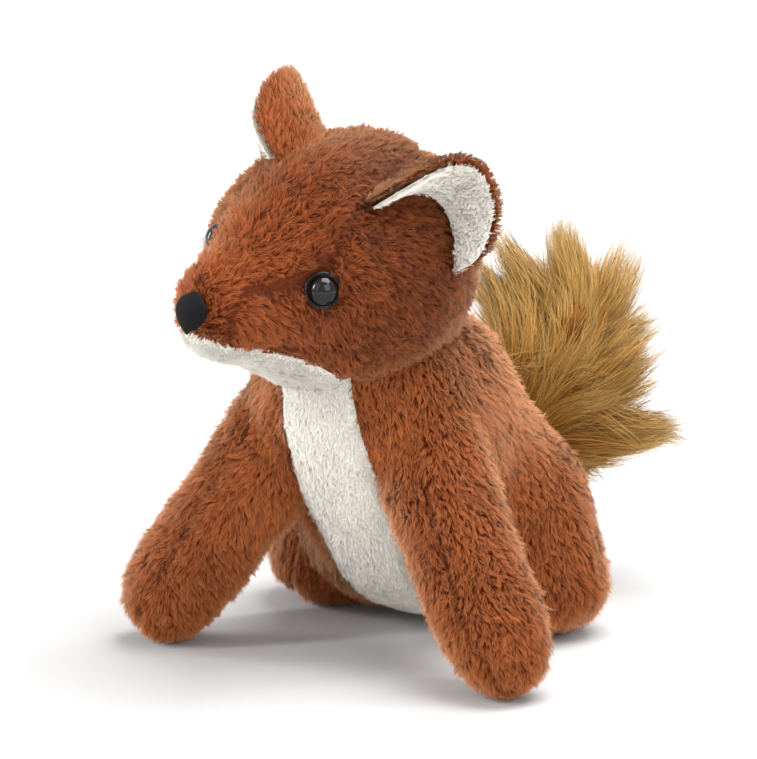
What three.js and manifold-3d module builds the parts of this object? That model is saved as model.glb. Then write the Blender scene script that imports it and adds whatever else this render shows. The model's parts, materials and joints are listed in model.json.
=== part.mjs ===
// A small sitting plush fox, sewn from short pile fabric over soft stuffing.
// Millimetres, +Z up. The fox looks along -Y and its own left side is +X.
// The origin lies on the floor, in the middle of the flat patch that the rump rests on.

import * as THREE from "three";
import { mergeVertices } from "three/addons/utils/BufferGeometryUtils.js";
import Module from "manifold-3d";

const wasm = await Module();
wasm.setup();

const xAxis = new THREE.Vector3(1, 0, 0);
const yAxis = new THREE.Vector3(0, 1, 0);
const zAxis = new THREE.Vector3(0, 0, 1);

// Fabric, seams and cutting
const fabricThickness = 3;
const seamGap = 0.3;
const floorCut = 0.5;
const overrun = 160;

// Torso: it stands on the rump and leans forward to the neck
const torsoHeight = 71;
const torsoWidth = 52;
const torsoDepth = 62;
const waistForward = 8.5;
const chestForward = 23.5;
const neckForward = 34;
const torsoShares = [
  [0, 0, 0],
  [0.09, 0.74, 0.72],
  [0.22, 0.93, 0.95],
  [0.42, 1, 1],
  [0.64, 0.97, 0.98],
  [0.84, 0.83, 0.86],
  [1, 0, 0],
];
const torsoLeanShares = [0, 0.3, 0.65, 1];
const bellyTopWidth = 15.5;
const bellyMiddleWidth = 21;
const bellyBottomWidth = 14;
const bellyTopHeight = 58;
const bellyMiddleHeight = 28;
const bellyBack = 7;

// Head: a ball with a short muzzle, turned and tilted on the neck
const headWidth = 49.5;
const headHeight = 50;
const skullBack = 24.5;
const muzzleReach = 44;
const muzzleDrop = 2;
const headForward = 40;
const headLift = 78;
const headTurn = THREE.MathUtils.degToRad(-13);
const headNod = THREE.MathUtils.degToRad(5);
const headTilt = THREE.MathUtils.degToRad(14);
const neckLean = THREE.MathUtils.degToRad(10);
const neckTurn = THREE.MathUtils.degToRad(18);
const headShares = [
  [0, 0, 0],
  [0.11, 0.72, 0.74],
  [0.25, 0.95, 0.96],
  [0.4, 1, 1],
  [0.56, 0.92, 0.93],
  [0.7, 0.68, 0.7],
  [0.82, 0.47, 0.5],
  [0.92, 0.36, 0.38],
  [1, 0, 0],
];

// Head seams: the face panel runs from the nose between the eyes and ears to the back of the head.
// Its rows give a place from muzzle tip to skull back and a half width; the chin's rows give a height.
const facePanelShares = [
  [-0.2, 0.28],
  [0.12, 0.28],
  [0.3, 0.56],
  [0.56, 0.42],
  [0.76, 0.22],
  [0.9, 0],
];
const chinShares = [
  [-0.2, -0.2],
  [0.02, -0.22],
  [0.12, -0.28],
  [0.28, -0.43],
  [0.4, -0.64],
  [0.52, -0.9],
];

// Eyes: a glossy dome on a stem, held by a washer behind the fabric
const eyeDiameter = 7;
const eyeDomeHeight = 2.8;
const eyeStemDiameter = 2.4;
const eyeStemLength = 6;
const eyeSink = 1.8;
const washerDiameter = 9;
const washerThickness = 1.2;
const washerRoom = 0.9;
const eyeSpread = THREE.MathUtils.degToRad(32);
const eyeRise = THREE.MathUtils.degToRad(11);

// Nose: a padded patch of stitches over the muzzle tip
const noseWidth = 8;
const noseHeight = 8;
const noseThickness = 1.2;
const noseLift = 2.8;
const noseShares = [
  [-1, 0.5],
  [-0.55, 0.95],
  [0.55, 0.95],
  [1, 0.5],
  [0.3, -0.8],
  [0, -1],
  [-0.3, -0.8],
];

// Ears: a cupped brown leaf lined with a smaller white one
const earHeight = 14;
const earWidth = 31;
const earThickness = 4.4;
const earCup = 9.5;
const liningMargin = 2.8;
const liningThickness = 2;
const earRoot = 12;
const earFold = THREE.MathUtils.degToRad(10);
const earShares = [
  [0, 0, 0],
  [0.1, 0.74, 0.9],
  [0.32, 0.98, 1],
  [0.62, 1, 1],
  [0.87, 0.76, 0.85],
  [1, 0, 0],
];
const earSeatShares = [0.55, 0.04, 0.83];
const earRiseShares = [0.62, -0.04, 0.78];
const earFaceShares = [0.7, -0.62, -0.4];

// Legs: each is sewn to the torso's side and swings a little on that seam
const legSwing = THREE.MathUtils.degToRad(9);
const stanceWidth = 72;
const hindStanceShare = 0.7;
const frontLeg = {
  name: "front",
  thickness: 22,
  out: 15,
  forward: 38,
  height: 50,
  pawOut: stanceWidth / 2,
  pawForward: 48,
  pawHeight: 10,
  bow: 2,
};
const hindLeg = {
  name: "hind",
  thickness: 24,
  out: 16,
  forward: 2,
  height: 35,
  pawOut: (hindStanceShare * stanceWidth) / 2,
  pawForward: 7,
  pawHeight: 11,
  bow: 0,
};
const legShares = [
  [0, 0, 0],
  [0.13, 0.94, 0.98],
  [0.4, 1, 1.02],
  [0.74, 1, 1],
  [0.9, 0.8, 0.8],
  [1, 0, 0],
];

// Tail: a brush of long pile on a stuffed core, carried up and to the left
const tailWidth = 35;
const tailSide = 2;
const tailHeight = 25;
const tailSink = 12.5;
const tailLength = 46;
const tailMiddleShares = [0.2, 0.42, 0.4];
const tailTipShares = [0.24, 0.35, 1.02];
const tailCoreDiameter = 9;
const tailSwing = THREE.MathUtils.degToRad(12);
const tailShares = [
  [0, 0, 0],
  [0.1, 0.36, 0.34],
  [0.3, 0.82, 0.74],
  [0.56, 1, 0.94],
  [0.82, 0.84, 0.8],
  [1, 0, 0],
];
const tailCoreShares = [
  [0, 0, 0],
  [0.15, 1, 1],
  [0.8, 1, 1],
  [1, 0, 0],
];

// Facets round and along the forms, and the positions of a swing that a solid is cut clear of
const roundCounts = { head: 22, torso: 20, leg: 12, ear: 14, tail: 12, tailCore: 8, eye: 16 };
const alongCounts = { head: 12, torso: 12, leg: 9, ear: 6, tail: 8, tailCore: 6 };
const swingCounts = { neck: 4, seam: 2 };

const rust = new THREE.MeshStandardMaterial({ color: 0x8c4623, roughness: 0.95, metalness: 0 });
const cream = new THREE.MeshStandardMaterial({ color: 0xe4e1d4, roughness: 0.95, metalness: 0 });
const gold = new THREE.MeshStandardMaterial({ color: 0xb48c46, roughness: 0.9, metalness: 0 });
const blackThread = new THREE.MeshStandardMaterial({ color: 0x1a1a1d, roughness: 0.6, metalness: 0 });
const blackGloss = new THREE.MeshStandardMaterial({ color: 0x0c0c0e, roughness: 0.08, metalness: 0 });
const fibre = new THREE.MeshStandardMaterial({ color: 0xf2f2ee, roughness: 1, metalness: 0 });
const clearPlastic = new THREE.MeshStandardMaterial({ color: 0xd8d8d4, roughness: 0.4, metalness: 0 });

// A soft form is a tube of oval rings along a spine. Each row of its shares says how far along a ring
// lies and how wide and thick it is. The squares are interpolated, so both ends close round.
// The rings stand square to the spine, or to one fixed axis where the spine bends sharply.
function softForm({ spine, side, width, thickness, shares, round, along, cup = 0, ringAxis }) {
  const line = new THREE.CatmullRomCurve3(spine);
  const rows = shares.map(([place, wide, thick]) => new THREE.Vector3(place, wide ** 2, thick ** 2));
  const profile = new THREE.CatmullRomCurve3(rows);
  const positions = [];
  const indices = [];
  for (let ring = 0; ring <= along; ring++) {
    const row = profile.getPoint((1 - Math.cos((Math.PI * ring) / along)) / 2);
    const place = THREE.MathUtils.clamp(row.x, 0, 1);
    const centre = line.getPointAt(place);
    const ahead = ringAxis ?? line.getTangentAt(place);
    const across = side.clone().addScaledVector(ahead, -side.dot(ahead)).normalize();
    const up = ahead.clone().cross(across);
    const wide = Math.sqrt(Math.max(row.y, 0));
    const thick = Math.sqrt(Math.max(row.z, 0));
    if (ring === 0 || ring === along) {
      positions.push(...centre.toArray());
      continue;
    }
    for (let step = 0; step < round; step++) {
      const angle = (2 * Math.PI * step) / round;
      const point = centre.clone();
      point.addScaledVector(across, (width / 2) * wide * Math.cos(angle));
      point.addScaledVector(up, (thickness / 2) * thick * Math.sin(angle));
      point.addScaledVector(up, cup * (wide * Math.cos(angle)) ** 2);
      positions.push(...point.toArray());
    }
  }
  const last = positions.length / 3 - 1;
  const corner = (ring, step) => 1 + (ring - 1) * round + (step % round);
  for (let step = 0; step < round; step++) {
    indices.push(0, corner(1, step + 1), corner(1, step));
    for (let ring = 1; ring < along - 1; ring++) {
      const a = corner(ring, step);
      const b = corner(ring, step + 1);
      const c = corner(ring + 1, step + 1);
      const d = corner(ring + 1, step);
      indices.push(a, b, d, b, c, d);
    }
    indices.push(last, corner(along - 1, step), corner(along - 1, step + 1));
  }
  const geometry = new THREE.BufferGeometry();
  geometry.setAttribute("position", new THREE.Float32BufferAttribute(positions, 3));
  geometry.setIndex(indices);
  return geometry;
}

// The same form with its whole surface moved out by a distance, or in by a negative one
function grown(geometry, distance) {
  const copy = geometry.clone();
  copy.computeVertexNormals();
  const place = copy.attributes.position;
  const normal = copy.attributes.normal;
  for (let i = 0; i < place.count; i++) {
    place.setXYZ(
      i,
      place.getX(i) + distance * normal.getX(i),
      place.getY(i) + distance * normal.getY(i),
      place.getZ(i) + distance * normal.getZ(i),
    );
  }
  return copy;
}

// The same form with each corner stored once
function joined(geometry) {
  const bare = geometry.clone();
  bare.deleteAttribute("normal");
  bare.deleteAttribute("uv");
  return mergeVertices(bare);
}

// Solids for cutting and joining
function solidOf(geometry) {
  const merged = joined(geometry);
  const mesh = new wasm.Mesh({
    numProp: 3,
    vertProperties: new Float32Array(merged.attributes.position.array),
    triVerts: new Uint32Array(merged.index.array),
  });
  return new wasm.Manifold(mesh);
}

function geometryOf(solid) {
  const mesh = solid.getMesh();
  const geometry = new THREE.BufferGeometry();
  geometry.setAttribute("position", new THREE.Float32BufferAttribute(mesh.vertProperties, 3));
  geometry.setIndex(Array.from(mesh.triVerts));
  return geometry;
}

// Everything on the far side of a plane, as a large block
function beyond(point, direction) {
  const block = new THREE.BoxGeometry(overrun, overrun, overrun);
  block.translate(0, 0, overrun / 2);
  block.applyQuaternion(new THREE.Quaternion().setFromUnitVectors(zAxis, direction.clone().normalize()));
  block.translate(point.x, point.y, point.z);
  return solidOf(block);
}

// A long prism along one axis, over an outline drawn in the other two
function prismAlong(axis, outline) {
  const prism = new THREE.ExtrudeGeometry(new THREE.Shape(outline), { depth: overrun, bevelEnabled: false });
  prism.translate(0, 0, -overrun / 2);
  if (axis === "y") prism.rotateX(Math.PI / 2);
  if (axis === "x") prism.applyMatrix4(new THREE.Matrix4().makeBasis(yAxis, zAxis, xAxis));
  return solidOf(prism);
}

// A solid cut back from everything an obstacle reaches while the solid swings about an axis
function clearOfSwing(solid, obstacle, point, axis, range, steps) {
  let rest = solid;
  for (let step = 0; step <= steps; step++) {
    const angle = range * ((2 * step) / steps - 1);
    const turn = new THREE.Matrix4().makeTranslation(point.x, point.y, point.z);
    turn.multiply(new THREE.Matrix4().makeRotationAxis(axis, angle));
    turn.multiply(new THREE.Matrix4().makeTranslation(-point.x, -point.y, -point.z));
    rest = rest.subtract(solidOf(obstacle.clone().applyMatrix4(turn)));
  }
  return rest;
}

// The point where a ray from inside leaves a form, and the way its surface faces there
function seatOn(geometry, from, direction) {
  const target = new THREE.Mesh(geometry, new THREE.MeshBasicMaterial({ side: THREE.DoubleSide }));
  const caster = new THREE.Raycaster(from, direction.clone().normalize());
  const hit = caster.intersectObject(target).at(-1);
  return { point: hit.point, facing: hit.face.normal.clone() };
}

function named(name, solid, material) {
  const geometry = geometryOf(solid);
  geometry.computeVertexNormals();
  const mesh = new THREE.Mesh(geometry, material.clone());
  mesh.name = name;
  return mesh;
}

// Puts a group's own origin at the point that it turns about, with its pieces left where they are
function pivotedAt(point, group) {
  for (const mesh of group.children) {
    mesh.geometry.translate(-point.x, -point.y, -point.z);
  }
  group.position.copy(point);
  return group;
}

const headPlace = new THREE.Vector3(0, -headForward, headLift);
const headPose = new THREE.Matrix4()
  .makeRotationFromEuler(new THREE.Euler(headNod, headTilt, headTurn, "ZXY"))
  .setPosition(headPlace);
const neckAxis = new THREE.Vector3(0, -Math.sin(neckLean), Math.cos(neckLean));

function makeHeadForm() {
  const spine = [
    new THREE.Vector3(0, skullBack, 0),
    new THREE.Vector3(0, 0, 0),
    new THREE.Vector3(0, -muzzleReach / 2, -muzzleDrop / 3),
    new THREE.Vector3(0, -muzzleReach, -muzzleDrop),
  ];
  return softForm({
    spine,
    side: xAxis,
    width: headWidth,
    thickness: headHeight,
    shares: headShares,
    round: roundCounts.head,
    along: alongCounts.head,
  });
}

function buildTorso(headForm) {
  const forwards = [0, waistForward, chestForward, neckForward];
  const spine = torsoLeanShares.map((share, i) => {
    return new THREE.Vector3(0, -forwards[i], -floorCut + share * torsoHeight);
  });
  const form = softForm({
    spine,
    side: xAxis,
    width: torsoWidth,
    thickness: torsoDepth,
    shares: torsoShares,
    round: roundCounts.torso,
    along: alongCounts.torso,
    ringAxis: zAxis,
  });
  const turningHead = grown(headForm, seamGap).applyMatrix4(headPose);
  const free = (solid) => clearOfSwing(solid, turningHead, headPlace, neckAxis, neckTurn, swingCounts.neck);
  const skin = free(onFloor(form, 0).subtract(onFloor(form, fabricThickness)));
  const core = free(onFloor(form, fabricThickness + seamGap));

  const outline = (grow) => {
    const left = [
      new THREE.Vector2(bellyTopWidth / 2 + grow, overrun / 2),
      new THREE.Vector2(bellyTopWidth / 2 + grow, bellyTopHeight),
      new THREE.Vector2(bellyMiddleWidth / 2 + grow, bellyMiddleHeight),
      new THREE.Vector2(bellyBottomWidth / 2 + grow, 0),
      new THREE.Vector2(bellyBottomWidth / 2 + grow, -overrun / 2),
    ];
    const right = left.toReversed().map((point) => new THREE.Vector2(-point.x, point.y));
    return [...left, ...right];
  };
  const lean = new THREE.Vector3(0, -torsoHeight, -neckForward);
  const ahead = (grow) => beyond(new THREE.Vector3(0, bellyBack + grow, 0), lean);
  const bellyZone = prismAlong("y", outline(-seamGap / 2)).intersect(ahead(-seamGap / 2));
  const bellyHole = prismAlong("y", outline(seamGap / 2)).intersect(ahead(seamGap / 2));
  const back = skin.subtract(bellyHole);
  const rightHalf = beyond(new THREE.Vector3(-seamGap / 2, 0, 0), xAxis.clone().negate());
  const leftHalf = beyond(new THREE.Vector3(seamGap / 2, 0, 0), xAxis);

  const torso = new THREE.Group();
  torso.add(named("belly_panel", skin.intersect(bellyZone), cream));
  torso.add(named("back_panel_left", back.intersect(leftHalf), rust));
  torso.add(named("back_panel_right", back.intersect(rightHalf), rust));
  torso.add(named("torso_stuffing", core, fibre));
  return { group: torso, form };
}

// A form that stands on the floor, or its inside at a depth below the surface, with a flat bottom
function onFloor(form, depth) {
  const floor = new THREE.Vector3(0, 0, depth);
  return solidOf(grown(form, -depth)).subtract(beyond(floor, zAxis.clone().negate()));
}

function buildLeg(torsoForm, leg, sign, word) {
  const hip = new THREE.Vector3(sign * leg.out, -leg.forward, leg.height);
  const paw = new THREE.Vector3(sign * leg.pawOut, -leg.pawForward, leg.pawHeight);
  const middle = hip.clone().lerp(paw, 1 / 2);
  middle.x -= sign * leg.bow;
  const along = paw.clone().sub(middle).normalize();
  const end = paw.clone().addScaledVector(along, leg.thickness / 2);
  const spine = [hip, middle, paw, end];
  const form = softForm({
    spine,
    side: yAxis,
    width: leg.thickness,
    thickness: leg.thickness,
    shares: legShares,
    round: roundCounts.leg,
    along: alongCounts.leg,
  });
  const torsoSkin = grown(torsoForm, seamGap);
  const free = (solid) => clearOfSwing(solid, torsoSkin, hip, xAxis, legSwing, swingCounts.seam);
  const skin = free(onFloor(form, 0).subtract(onFloor(form, fabricThickness)));
  const core = free(onFloor(form, fabricThickness + seamGap));
  const run = end.clone().sub(hip);
  const across = run.clone().cross(yAxis).normalize().multiplyScalar(-sign);
  const outerCut = hip.clone().addScaledVector(across, seamGap / 2);
  const innerCut = hip.clone().addScaledVector(across, -seamGap / 2);

  const group = new THREE.Group();
  const label = leg.name + "_leg_" + word;
  group.add(named(label + "_outer_panel", skin.intersect(beyond(outerCut, across)), rust));
  group.add(named(label + "_inner_panel", skin.intersect(beyond(innerCut, across.clone().negate())), rust));
  group.add(named(label + "_stuffing", core, fibre));
  return pivotedAt(hip, group);
}

// A solid of revolution about a given line, its profile written as radius and distance along the line
function turned(profile, point, facing) {
  const shape = joined(new THREE.LatheGeometry(profile, roundCounts.eye));
  shape.applyQuaternion(new THREE.Quaternion().setFromUnitVectors(yAxis, facing));
  shape.translate(point.x, point.y, point.z);
  return solidOf(shape);
}

// The eye's own outline, or the same outline with clearance all round for its seat in the fabric
function eyeProfile(room) {
  const radius = eyeDiameter / 2;
  const count = roundCounts.eye / 4;
  const dome = Array.from({ length: count }, (_, i) => {
    const angle = (Math.PI / 2) * (i / count);
    return new THREE.Vector2((radius + room) * Math.cos(angle), (eyeDomeHeight + room) * Math.sin(angle));
  });
  return [
    new THREE.Vector2(0, -eyeStemLength - room),
    new THREE.Vector2(eyeStemDiameter / 2 + room, -eyeStemLength - room),
    new THREE.Vector2(eyeStemDiameter / 2 + room, -room),
    new THREE.Vector2(radius + room, -room),
    ...dome,
    new THREE.Vector2(0, eyeDomeHeight + room),
  ];
}

function washerProfile() {
  const bore = eyeStemDiameter / 2 + seamGap;
  return [
    new THREE.Vector2(bore, 0),
    new THREE.Vector2(washerDiameter / 2, 0),
    new THREE.Vector2(washerDiameter / 2, washerThickness),
    new THREE.Vector2(bore, washerThickness),
    new THREE.Vector2(bore, 0),
  ];
}

function washerPocket() {
  return [
    new THREE.Vector2(0, -seamGap),
    new THREE.Vector2(washerDiameter / 2 + seamGap, -seamGap),
    new THREE.Vector2(washerDiameter / 2 + seamGap, washerThickness + washerRoom + seamGap),
    new THREE.Vector2(0, washerThickness + washerRoom + seamGap),
  ];
}

function buildHead(form) {
  let skin = solidOf(form).subtract(solidOf(grown(form, -fabricThickness)));
  let core = solidOf(grown(form, -fabricThickness - seamGap));
  const head = new THREE.Group();

  for (const [sign, word] of [[1, "left"], [-1, "right"]]) {
    const towards = new THREE.Vector3(
      sign * Math.sin(eyeSpread) * Math.cos(eyeRise),
      -Math.cos(eyeSpread) * Math.cos(eyeRise),
      Math.sin(eyeRise),
    );
    const seat = seatOn(form, new THREE.Vector3(), towards);
    const place = seat.point.clone().addScaledVector(seat.facing, -eyeSink);
    const inside = fabricThickness + washerRoom + washerThickness;
    const washerPlace = seat.point.clone().addScaledVector(seat.facing, -inside);
    head.add(named("eye_" + word, turned(eyeProfile(0), place, seat.facing), blackGloss));
    head.add(named("eye_washer_" + word, turned(washerProfile(), washerPlace, seat.facing), clearPlastic));
    const seatCut = turned(eyeProfile(seamGap), place, seat.facing);
    skin = skin.subtract(seatCut);
    core = core.subtract(seatCut).subtract(turned(washerPocket(), washerPlace, seat.facing));
  }

  const headLength = muzzleReach + skullBack;
  const faceOutline = (grow) => {
    const left = facePanelShares.map(([place, out]) => {
      return new THREE.Vector2((out * headWidth) / 2 + grow, place * headLength - muzzleReach);
    });
    const right = left.toReversed().map((point) => new THREE.Vector2(-point.x, point.y));
    return [...left, ...right];
  };
  const chinOutline = (grow) => {
    const top = chinShares.map(([place, rise]) => {
      return new THREE.Vector2(place * headLength - muzzleReach + grow, (rise * headHeight) / 2 + grow);
    });
    return [...top, new THREE.Vector2(top.at(-1).x, -overrun / 2), new THREE.Vector2(top[0].x, -overrun / 2)];
  };
  const chinLine = new THREE.Vector3(0, 0, (chinShares[0][1] * headHeight) / 2 - muzzleDrop);
  const above = beyond(chinLine, zAxis);
  const upper = skin.subtract(prismAlong("x", chinOutline(seamGap / 2)));
  const sides = upper.subtract(prismAlong("z", faceOutline(seamGap)).intersect(above));
  const rightHalf = beyond(new THREE.Vector3(-seamGap / 2, 0, 0), xAxis.clone().negate());
  const leftHalf = beyond(new THREE.Vector3(seamGap / 2, 0, 0), xAxis);
  head.add(named("chin_panel", skin.intersect(prismAlong("x", chinOutline(-seamGap / 2))), cream));
  head.add(named("face_panel", upper.intersect(prismAlong("z", faceOutline(0))).intersect(above), rust));
  head.add(named("cheek_panel_left", sides.intersect(leftHalf), rust));
  head.add(named("cheek_panel_right", sides.intersect(rightHalf), rust));
  head.add(named("head_stuffing", core, fibre));

  const noseOutline = noseShares.map(([out, rise]) => {
    return new THREE.Vector2((out * noseWidth) / 2, (rise * noseHeight) / 2 + noseLift - muzzleDrop);
  });
  const front = beyond(new THREE.Vector3(0, -muzzleReach / 2, 0), yAxis.clone().negate());
  const patch = solidOf(grown(form, noseThickness)).subtract(solidOf(grown(form, seamGap)));
  const nose = patch.intersect(prismAlong("y", noseOutline)).intersect(front);
  head.add(named("nose_embroidery", nose, blackThread));

  head.add(buildEar(form, 1, "left"), buildEar(form, -1, "right"));
  return head;
}

function mirrored(shares, sign) {
  return new THREE.Vector3(sign * shares[0], shares[1], shares[2]);
}

// An ear is sewn to the head along its root, and folds there a little to and fro
function buildEar(headForm, sign, word) {
  const rise = mirrored(earRiseShares, sign).normalize();
  const face = mirrored(earFaceShares, sign);
  face.addScaledVector(rise, -face.dot(rise)).normalize();
  const across = face.clone().cross(rise);
  const seat = seatOn(headForm, new THREE.Vector3(), mirrored(earSeatShares, sign)).point;
  const leaf = (width, height, thickness, forward) => {
    const foot = seat.clone().addScaledVector(rise, -earRoot).addScaledVector(face, forward);
    const top = seat.clone().addScaledVector(rise, height).addScaledVector(face, forward);
    return softForm({
      spine: [foot, top],
      side: across,
      width,
      thickness,
      cup: earCup,
      shares: earShares,
      round: roundCounts.ear,
      along: alongCounts.ear,
    });
  };
  const outer = leaf(earWidth, earHeight, earThickness, 0);
  const liningPlace = earThickness / 2 - liningThickness / 4;
  const lining = leaf(earWidth - 2 * liningMargin, earHeight - liningMargin, liningThickness, liningPlace);
  const head = grown(headForm, seamGap);
  const brown = solidOf(outer).subtract(solidOf(grown(lining, seamGap)));
  const ear = new THREE.Group();
  const free = (solid) => clearOfSwing(solid, head, seat, across, earFold, swingCounts.seam);
  ear.add(named("ear_outer_" + word, free(brown), rust));
  ear.add(named("ear_lining_" + word, free(solidOf(lining)), cream));
  return pivotedAt(seat, ear);
}

function buildTail(torsoForm) {
  const tailRoot = new THREE.Vector3(tailSide, torsoDepth / 2 - waistForward - tailSink, tailHeight);
  const along = (shares) => new THREE.Vector3(...shares).multiplyScalar(tailLength).add(tailRoot);
  const tailMiddle = along(tailMiddleShares);
  const tailTip = along(tailTipShares);
  const brushForm = softForm({
    spine: [tailRoot, tailMiddle, tailTip],
    side: xAxis,
    width: tailWidth,
    thickness: tailWidth,
    shares: tailShares,
    round: roundCounts.tail,
    along: alongCounts.tail,
    ringAxis: tailTip.clone().sub(tailRoot).normalize(),
  });
  const coreForm = softForm({
    spine: [tailRoot, tailMiddle, tailMiddle.clone().lerp(tailTip, 1 / 2)],
    side: xAxis,
    width: tailCoreDiameter,
    thickness: tailCoreDiameter,
    shares: tailCoreShares,
    round: roundCounts.tailCore,
    along: alongCounts.tailCore,
  });
  const torsoSkin = grown(torsoForm, seamGap);
  const free = (solid) => clearOfSwing(solid, torsoSkin, tailRoot, xAxis, tailSwing, swingCounts.seam);
  const brush = solidOf(brushForm).subtract(solidOf(grown(coreForm, seamGap)));
  const tail = new THREE.Group();
  tail.add(named("tail_brush", free(brush), gold));
  tail.add(named("tail_core", free(solidOf(coreForm)), fibre));
  return pivotedAt(tailRoot, tail);
}

const fox = new THREE.Group();
const headForm = makeHeadForm();
const torso = buildTorso(headForm);
fox.add(torso.group);
for (const [sign, word] of [[1, "left"], [-1, "right"]]) {
  fox.add(buildLeg(torso.form, frontLeg, sign, word));
  fox.add(buildLeg(torso.form, hindLeg, sign, word));
}
fox.add(buildTail(torso.form));

const head = buildHead(headForm);
head.applyMatrix4(headPose);
fox.add(head);

export default fox;
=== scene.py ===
"""A small sitting plush fox: sewn skins with short combed pile, a brush tail, bead eyes and a stitched nose.

Everything is in metres, in the frame's own axes: the fox looks along -Y and its left side is +X.
"""

import json
import math
from types import SimpleNamespace

import bmesh
import bpy
import numpy as np
from mathutils import Matrix, Vector
from mathutils.bvhtree import BVHTree
from mathutils.kdtree import KDTree


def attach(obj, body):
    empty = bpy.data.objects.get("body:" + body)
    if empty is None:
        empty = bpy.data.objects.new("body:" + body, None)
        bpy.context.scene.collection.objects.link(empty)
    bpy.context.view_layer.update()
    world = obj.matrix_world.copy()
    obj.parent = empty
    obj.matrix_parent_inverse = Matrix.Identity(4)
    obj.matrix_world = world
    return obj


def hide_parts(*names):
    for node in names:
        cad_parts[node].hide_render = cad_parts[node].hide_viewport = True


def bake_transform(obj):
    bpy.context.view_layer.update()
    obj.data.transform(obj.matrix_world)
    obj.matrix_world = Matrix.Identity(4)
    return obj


bl_info = {
    "name": "Plush fox",
    "version": (1, 0, 0),
    "blender": (4, 5, 0),
    "location": "3D View > Sidebar > Plush fox",
    "description": "Sews the skins, pile, eyes, nose and tail of a small sitting plush fox",
    "category": "Add Mesh",
}

# A millimetre, and what stands for a place that is far from everything, in metres
MM = 0.001
FAR = 1.0

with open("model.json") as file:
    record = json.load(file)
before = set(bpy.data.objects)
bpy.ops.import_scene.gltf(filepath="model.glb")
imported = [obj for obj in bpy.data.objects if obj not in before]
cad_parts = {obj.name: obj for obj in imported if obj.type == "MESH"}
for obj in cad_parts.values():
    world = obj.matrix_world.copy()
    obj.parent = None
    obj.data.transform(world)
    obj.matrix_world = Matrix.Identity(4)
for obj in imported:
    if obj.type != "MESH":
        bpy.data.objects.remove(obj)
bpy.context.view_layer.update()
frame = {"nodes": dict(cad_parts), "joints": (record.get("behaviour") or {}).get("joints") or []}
JOINTS = {joint["child"]: joint for joint in frame["joints"]}

SIDES = ("left", "right")

# Where the sewn forms lie, in millimetres. A row of shares gives a place along the form, and how wide and how
# thick the form is there as shares of its full width and thickness.
TORSO = {
    "spine": [(0, 0, -0.5), (0, -8.5, 20.8), (0, -23.5, 45.65), (0, -34, 70.5)],
    "side": (1, 0, 0),
    "width": 52,
    "thickness": 62,
    "shares": [
        (0, 0, 0), (0.09, 0.74, 0.72), (0.22, 0.93, 0.95), (0.42, 1, 1),
        (0.64, 0.97, 0.98), (0.84, 0.83, 0.86), (1, 0, 0),
    ],
    "ring_axis": (0, 0, 1),
}
TORSO_PANELS = ["back_panel_left", "back_panel_right", "belly_panel"]
HEAD_PLACE = Vector(JOINTS["head"]["pos_m"])
HEAD_POSE = (
    Matrix.Translation(HEAD_PLACE)
    @ Matrix.Rotation(math.radians(-13), 4, "Z")
    @ Matrix.Rotation(math.radians(5), 4, "X")
    @ Matrix.Rotation(math.radians(14), 4, "Y")
)
HEAD = {
    "spine": [(0, 24.5, 0), (0, 0, 0), (0, -22, -2 / 3), (0, -44, -2)],
    "side": (1, 0, 0),
    "width": 49.5,
    "thickness": 50,
    "shares": [
        (0, 0, 0), (0.11, 0.72, 0.74), (0.25, 0.95, 0.96), (0.4, 1, 1), (0.56, 0.92, 0.93),
        (0.7, 0.68, 0.7), (0.82, 0.47, 0.5), (0.92, 0.36, 0.38), (1, 0, 0),
    ],
    "pose": HEAD_POSE,
}
HEAD_PANELS = ["face_panel", "cheek_panel_left", "cheek_panel_right", "chin_panel"]
HEAD_BARE = ["nose_embroidery", "eye_left", "eye_right", "ear_lining_left", "ear_lining_right"]
JAW_LINE = ((-26, -17.5, -10.9, -4.2, -1), (-10.4, -14.8, -18.3, -20.8, -26))
LEG_SHARES = [(0, 0, 0), (0.16, 0.78, 0.8), (0.42, 0.99, 1.01), (0.74, 1, 1), (0.9, 0.8, 0.8), (1, 0, 0)]
LEGS = {
    "front_leg": {"thickness": 22, "paw": (36, -48, 10), "bow": 2},
    "hind_leg": {"thickness": 24, "paw": (25.2, -7, 11), "bow": 0},
}
EAR_SHARES = [(0, 0, 0), (0.1, 0.74, 0.9), (0.32, 0.98, 1), (0.62, 1, 1), (0.87, 0.76, 0.85), (1, 0, 0)]
EAR_RISE = (0.62, -0.04, 0.78)
EAR_FACE = (0.7, -0.62, -0.4)
EAR_TILT = 10
EAR_TURN = 11
EAR_ROOT = 12
EAR_CUP = 9.5
EARS = {"left": {"width": 25.5, "back": 2.8}, "right": {"width": 31, "back": 0}}

# An ear's leaf with and without its pile, then the lining's pad with and without its own: how much narrower
# each is than the ear, its height, its thickness and how far forward it lies
EAR_LAYERS = ((0, 14, 4.4, 0), (2.4, 12.8, 2.2, 0), (3.6, 12.9, 1.6, 1.4), (4.2, 12.5, 1.0, 1.4))
TAIL_CORE = {"thickness": 9, "length": 46, "middle": (0.2, 0.42, 0.4), "tip": (0.24, 0.35, 1.02)}
TAIL_CORE_SHARES = [(0, 0, 0), (0.15, 1, 1), (0.8, 1, 1), (1, 0, 0)]

# The eyes, in millimetres: how far each one's seat lies under the top of its node, and the outlines of the
# stem, the rim and the dome as radius and height
EYE_SINK = {"eye_left": 3.1, "eye_right": 3.8}
EYE_STEM = [(0, -6), (1.0, -6), (1.2, -5.8), (1.2, -0.1)]
EYE_RIM = [(3.2, 0), (3.42, 0.06), (3.5, 0.2), (3.46, 0.36), (3.3, 0.42), (3.12, 0.38), (2.98, 0.24)]
EYE_DOME = [(2.95 * math.cos(a), 0.3 + 2.5 * math.sin(a)) for a in np.linspace(0, math.pi / 2, 20)]

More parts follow.
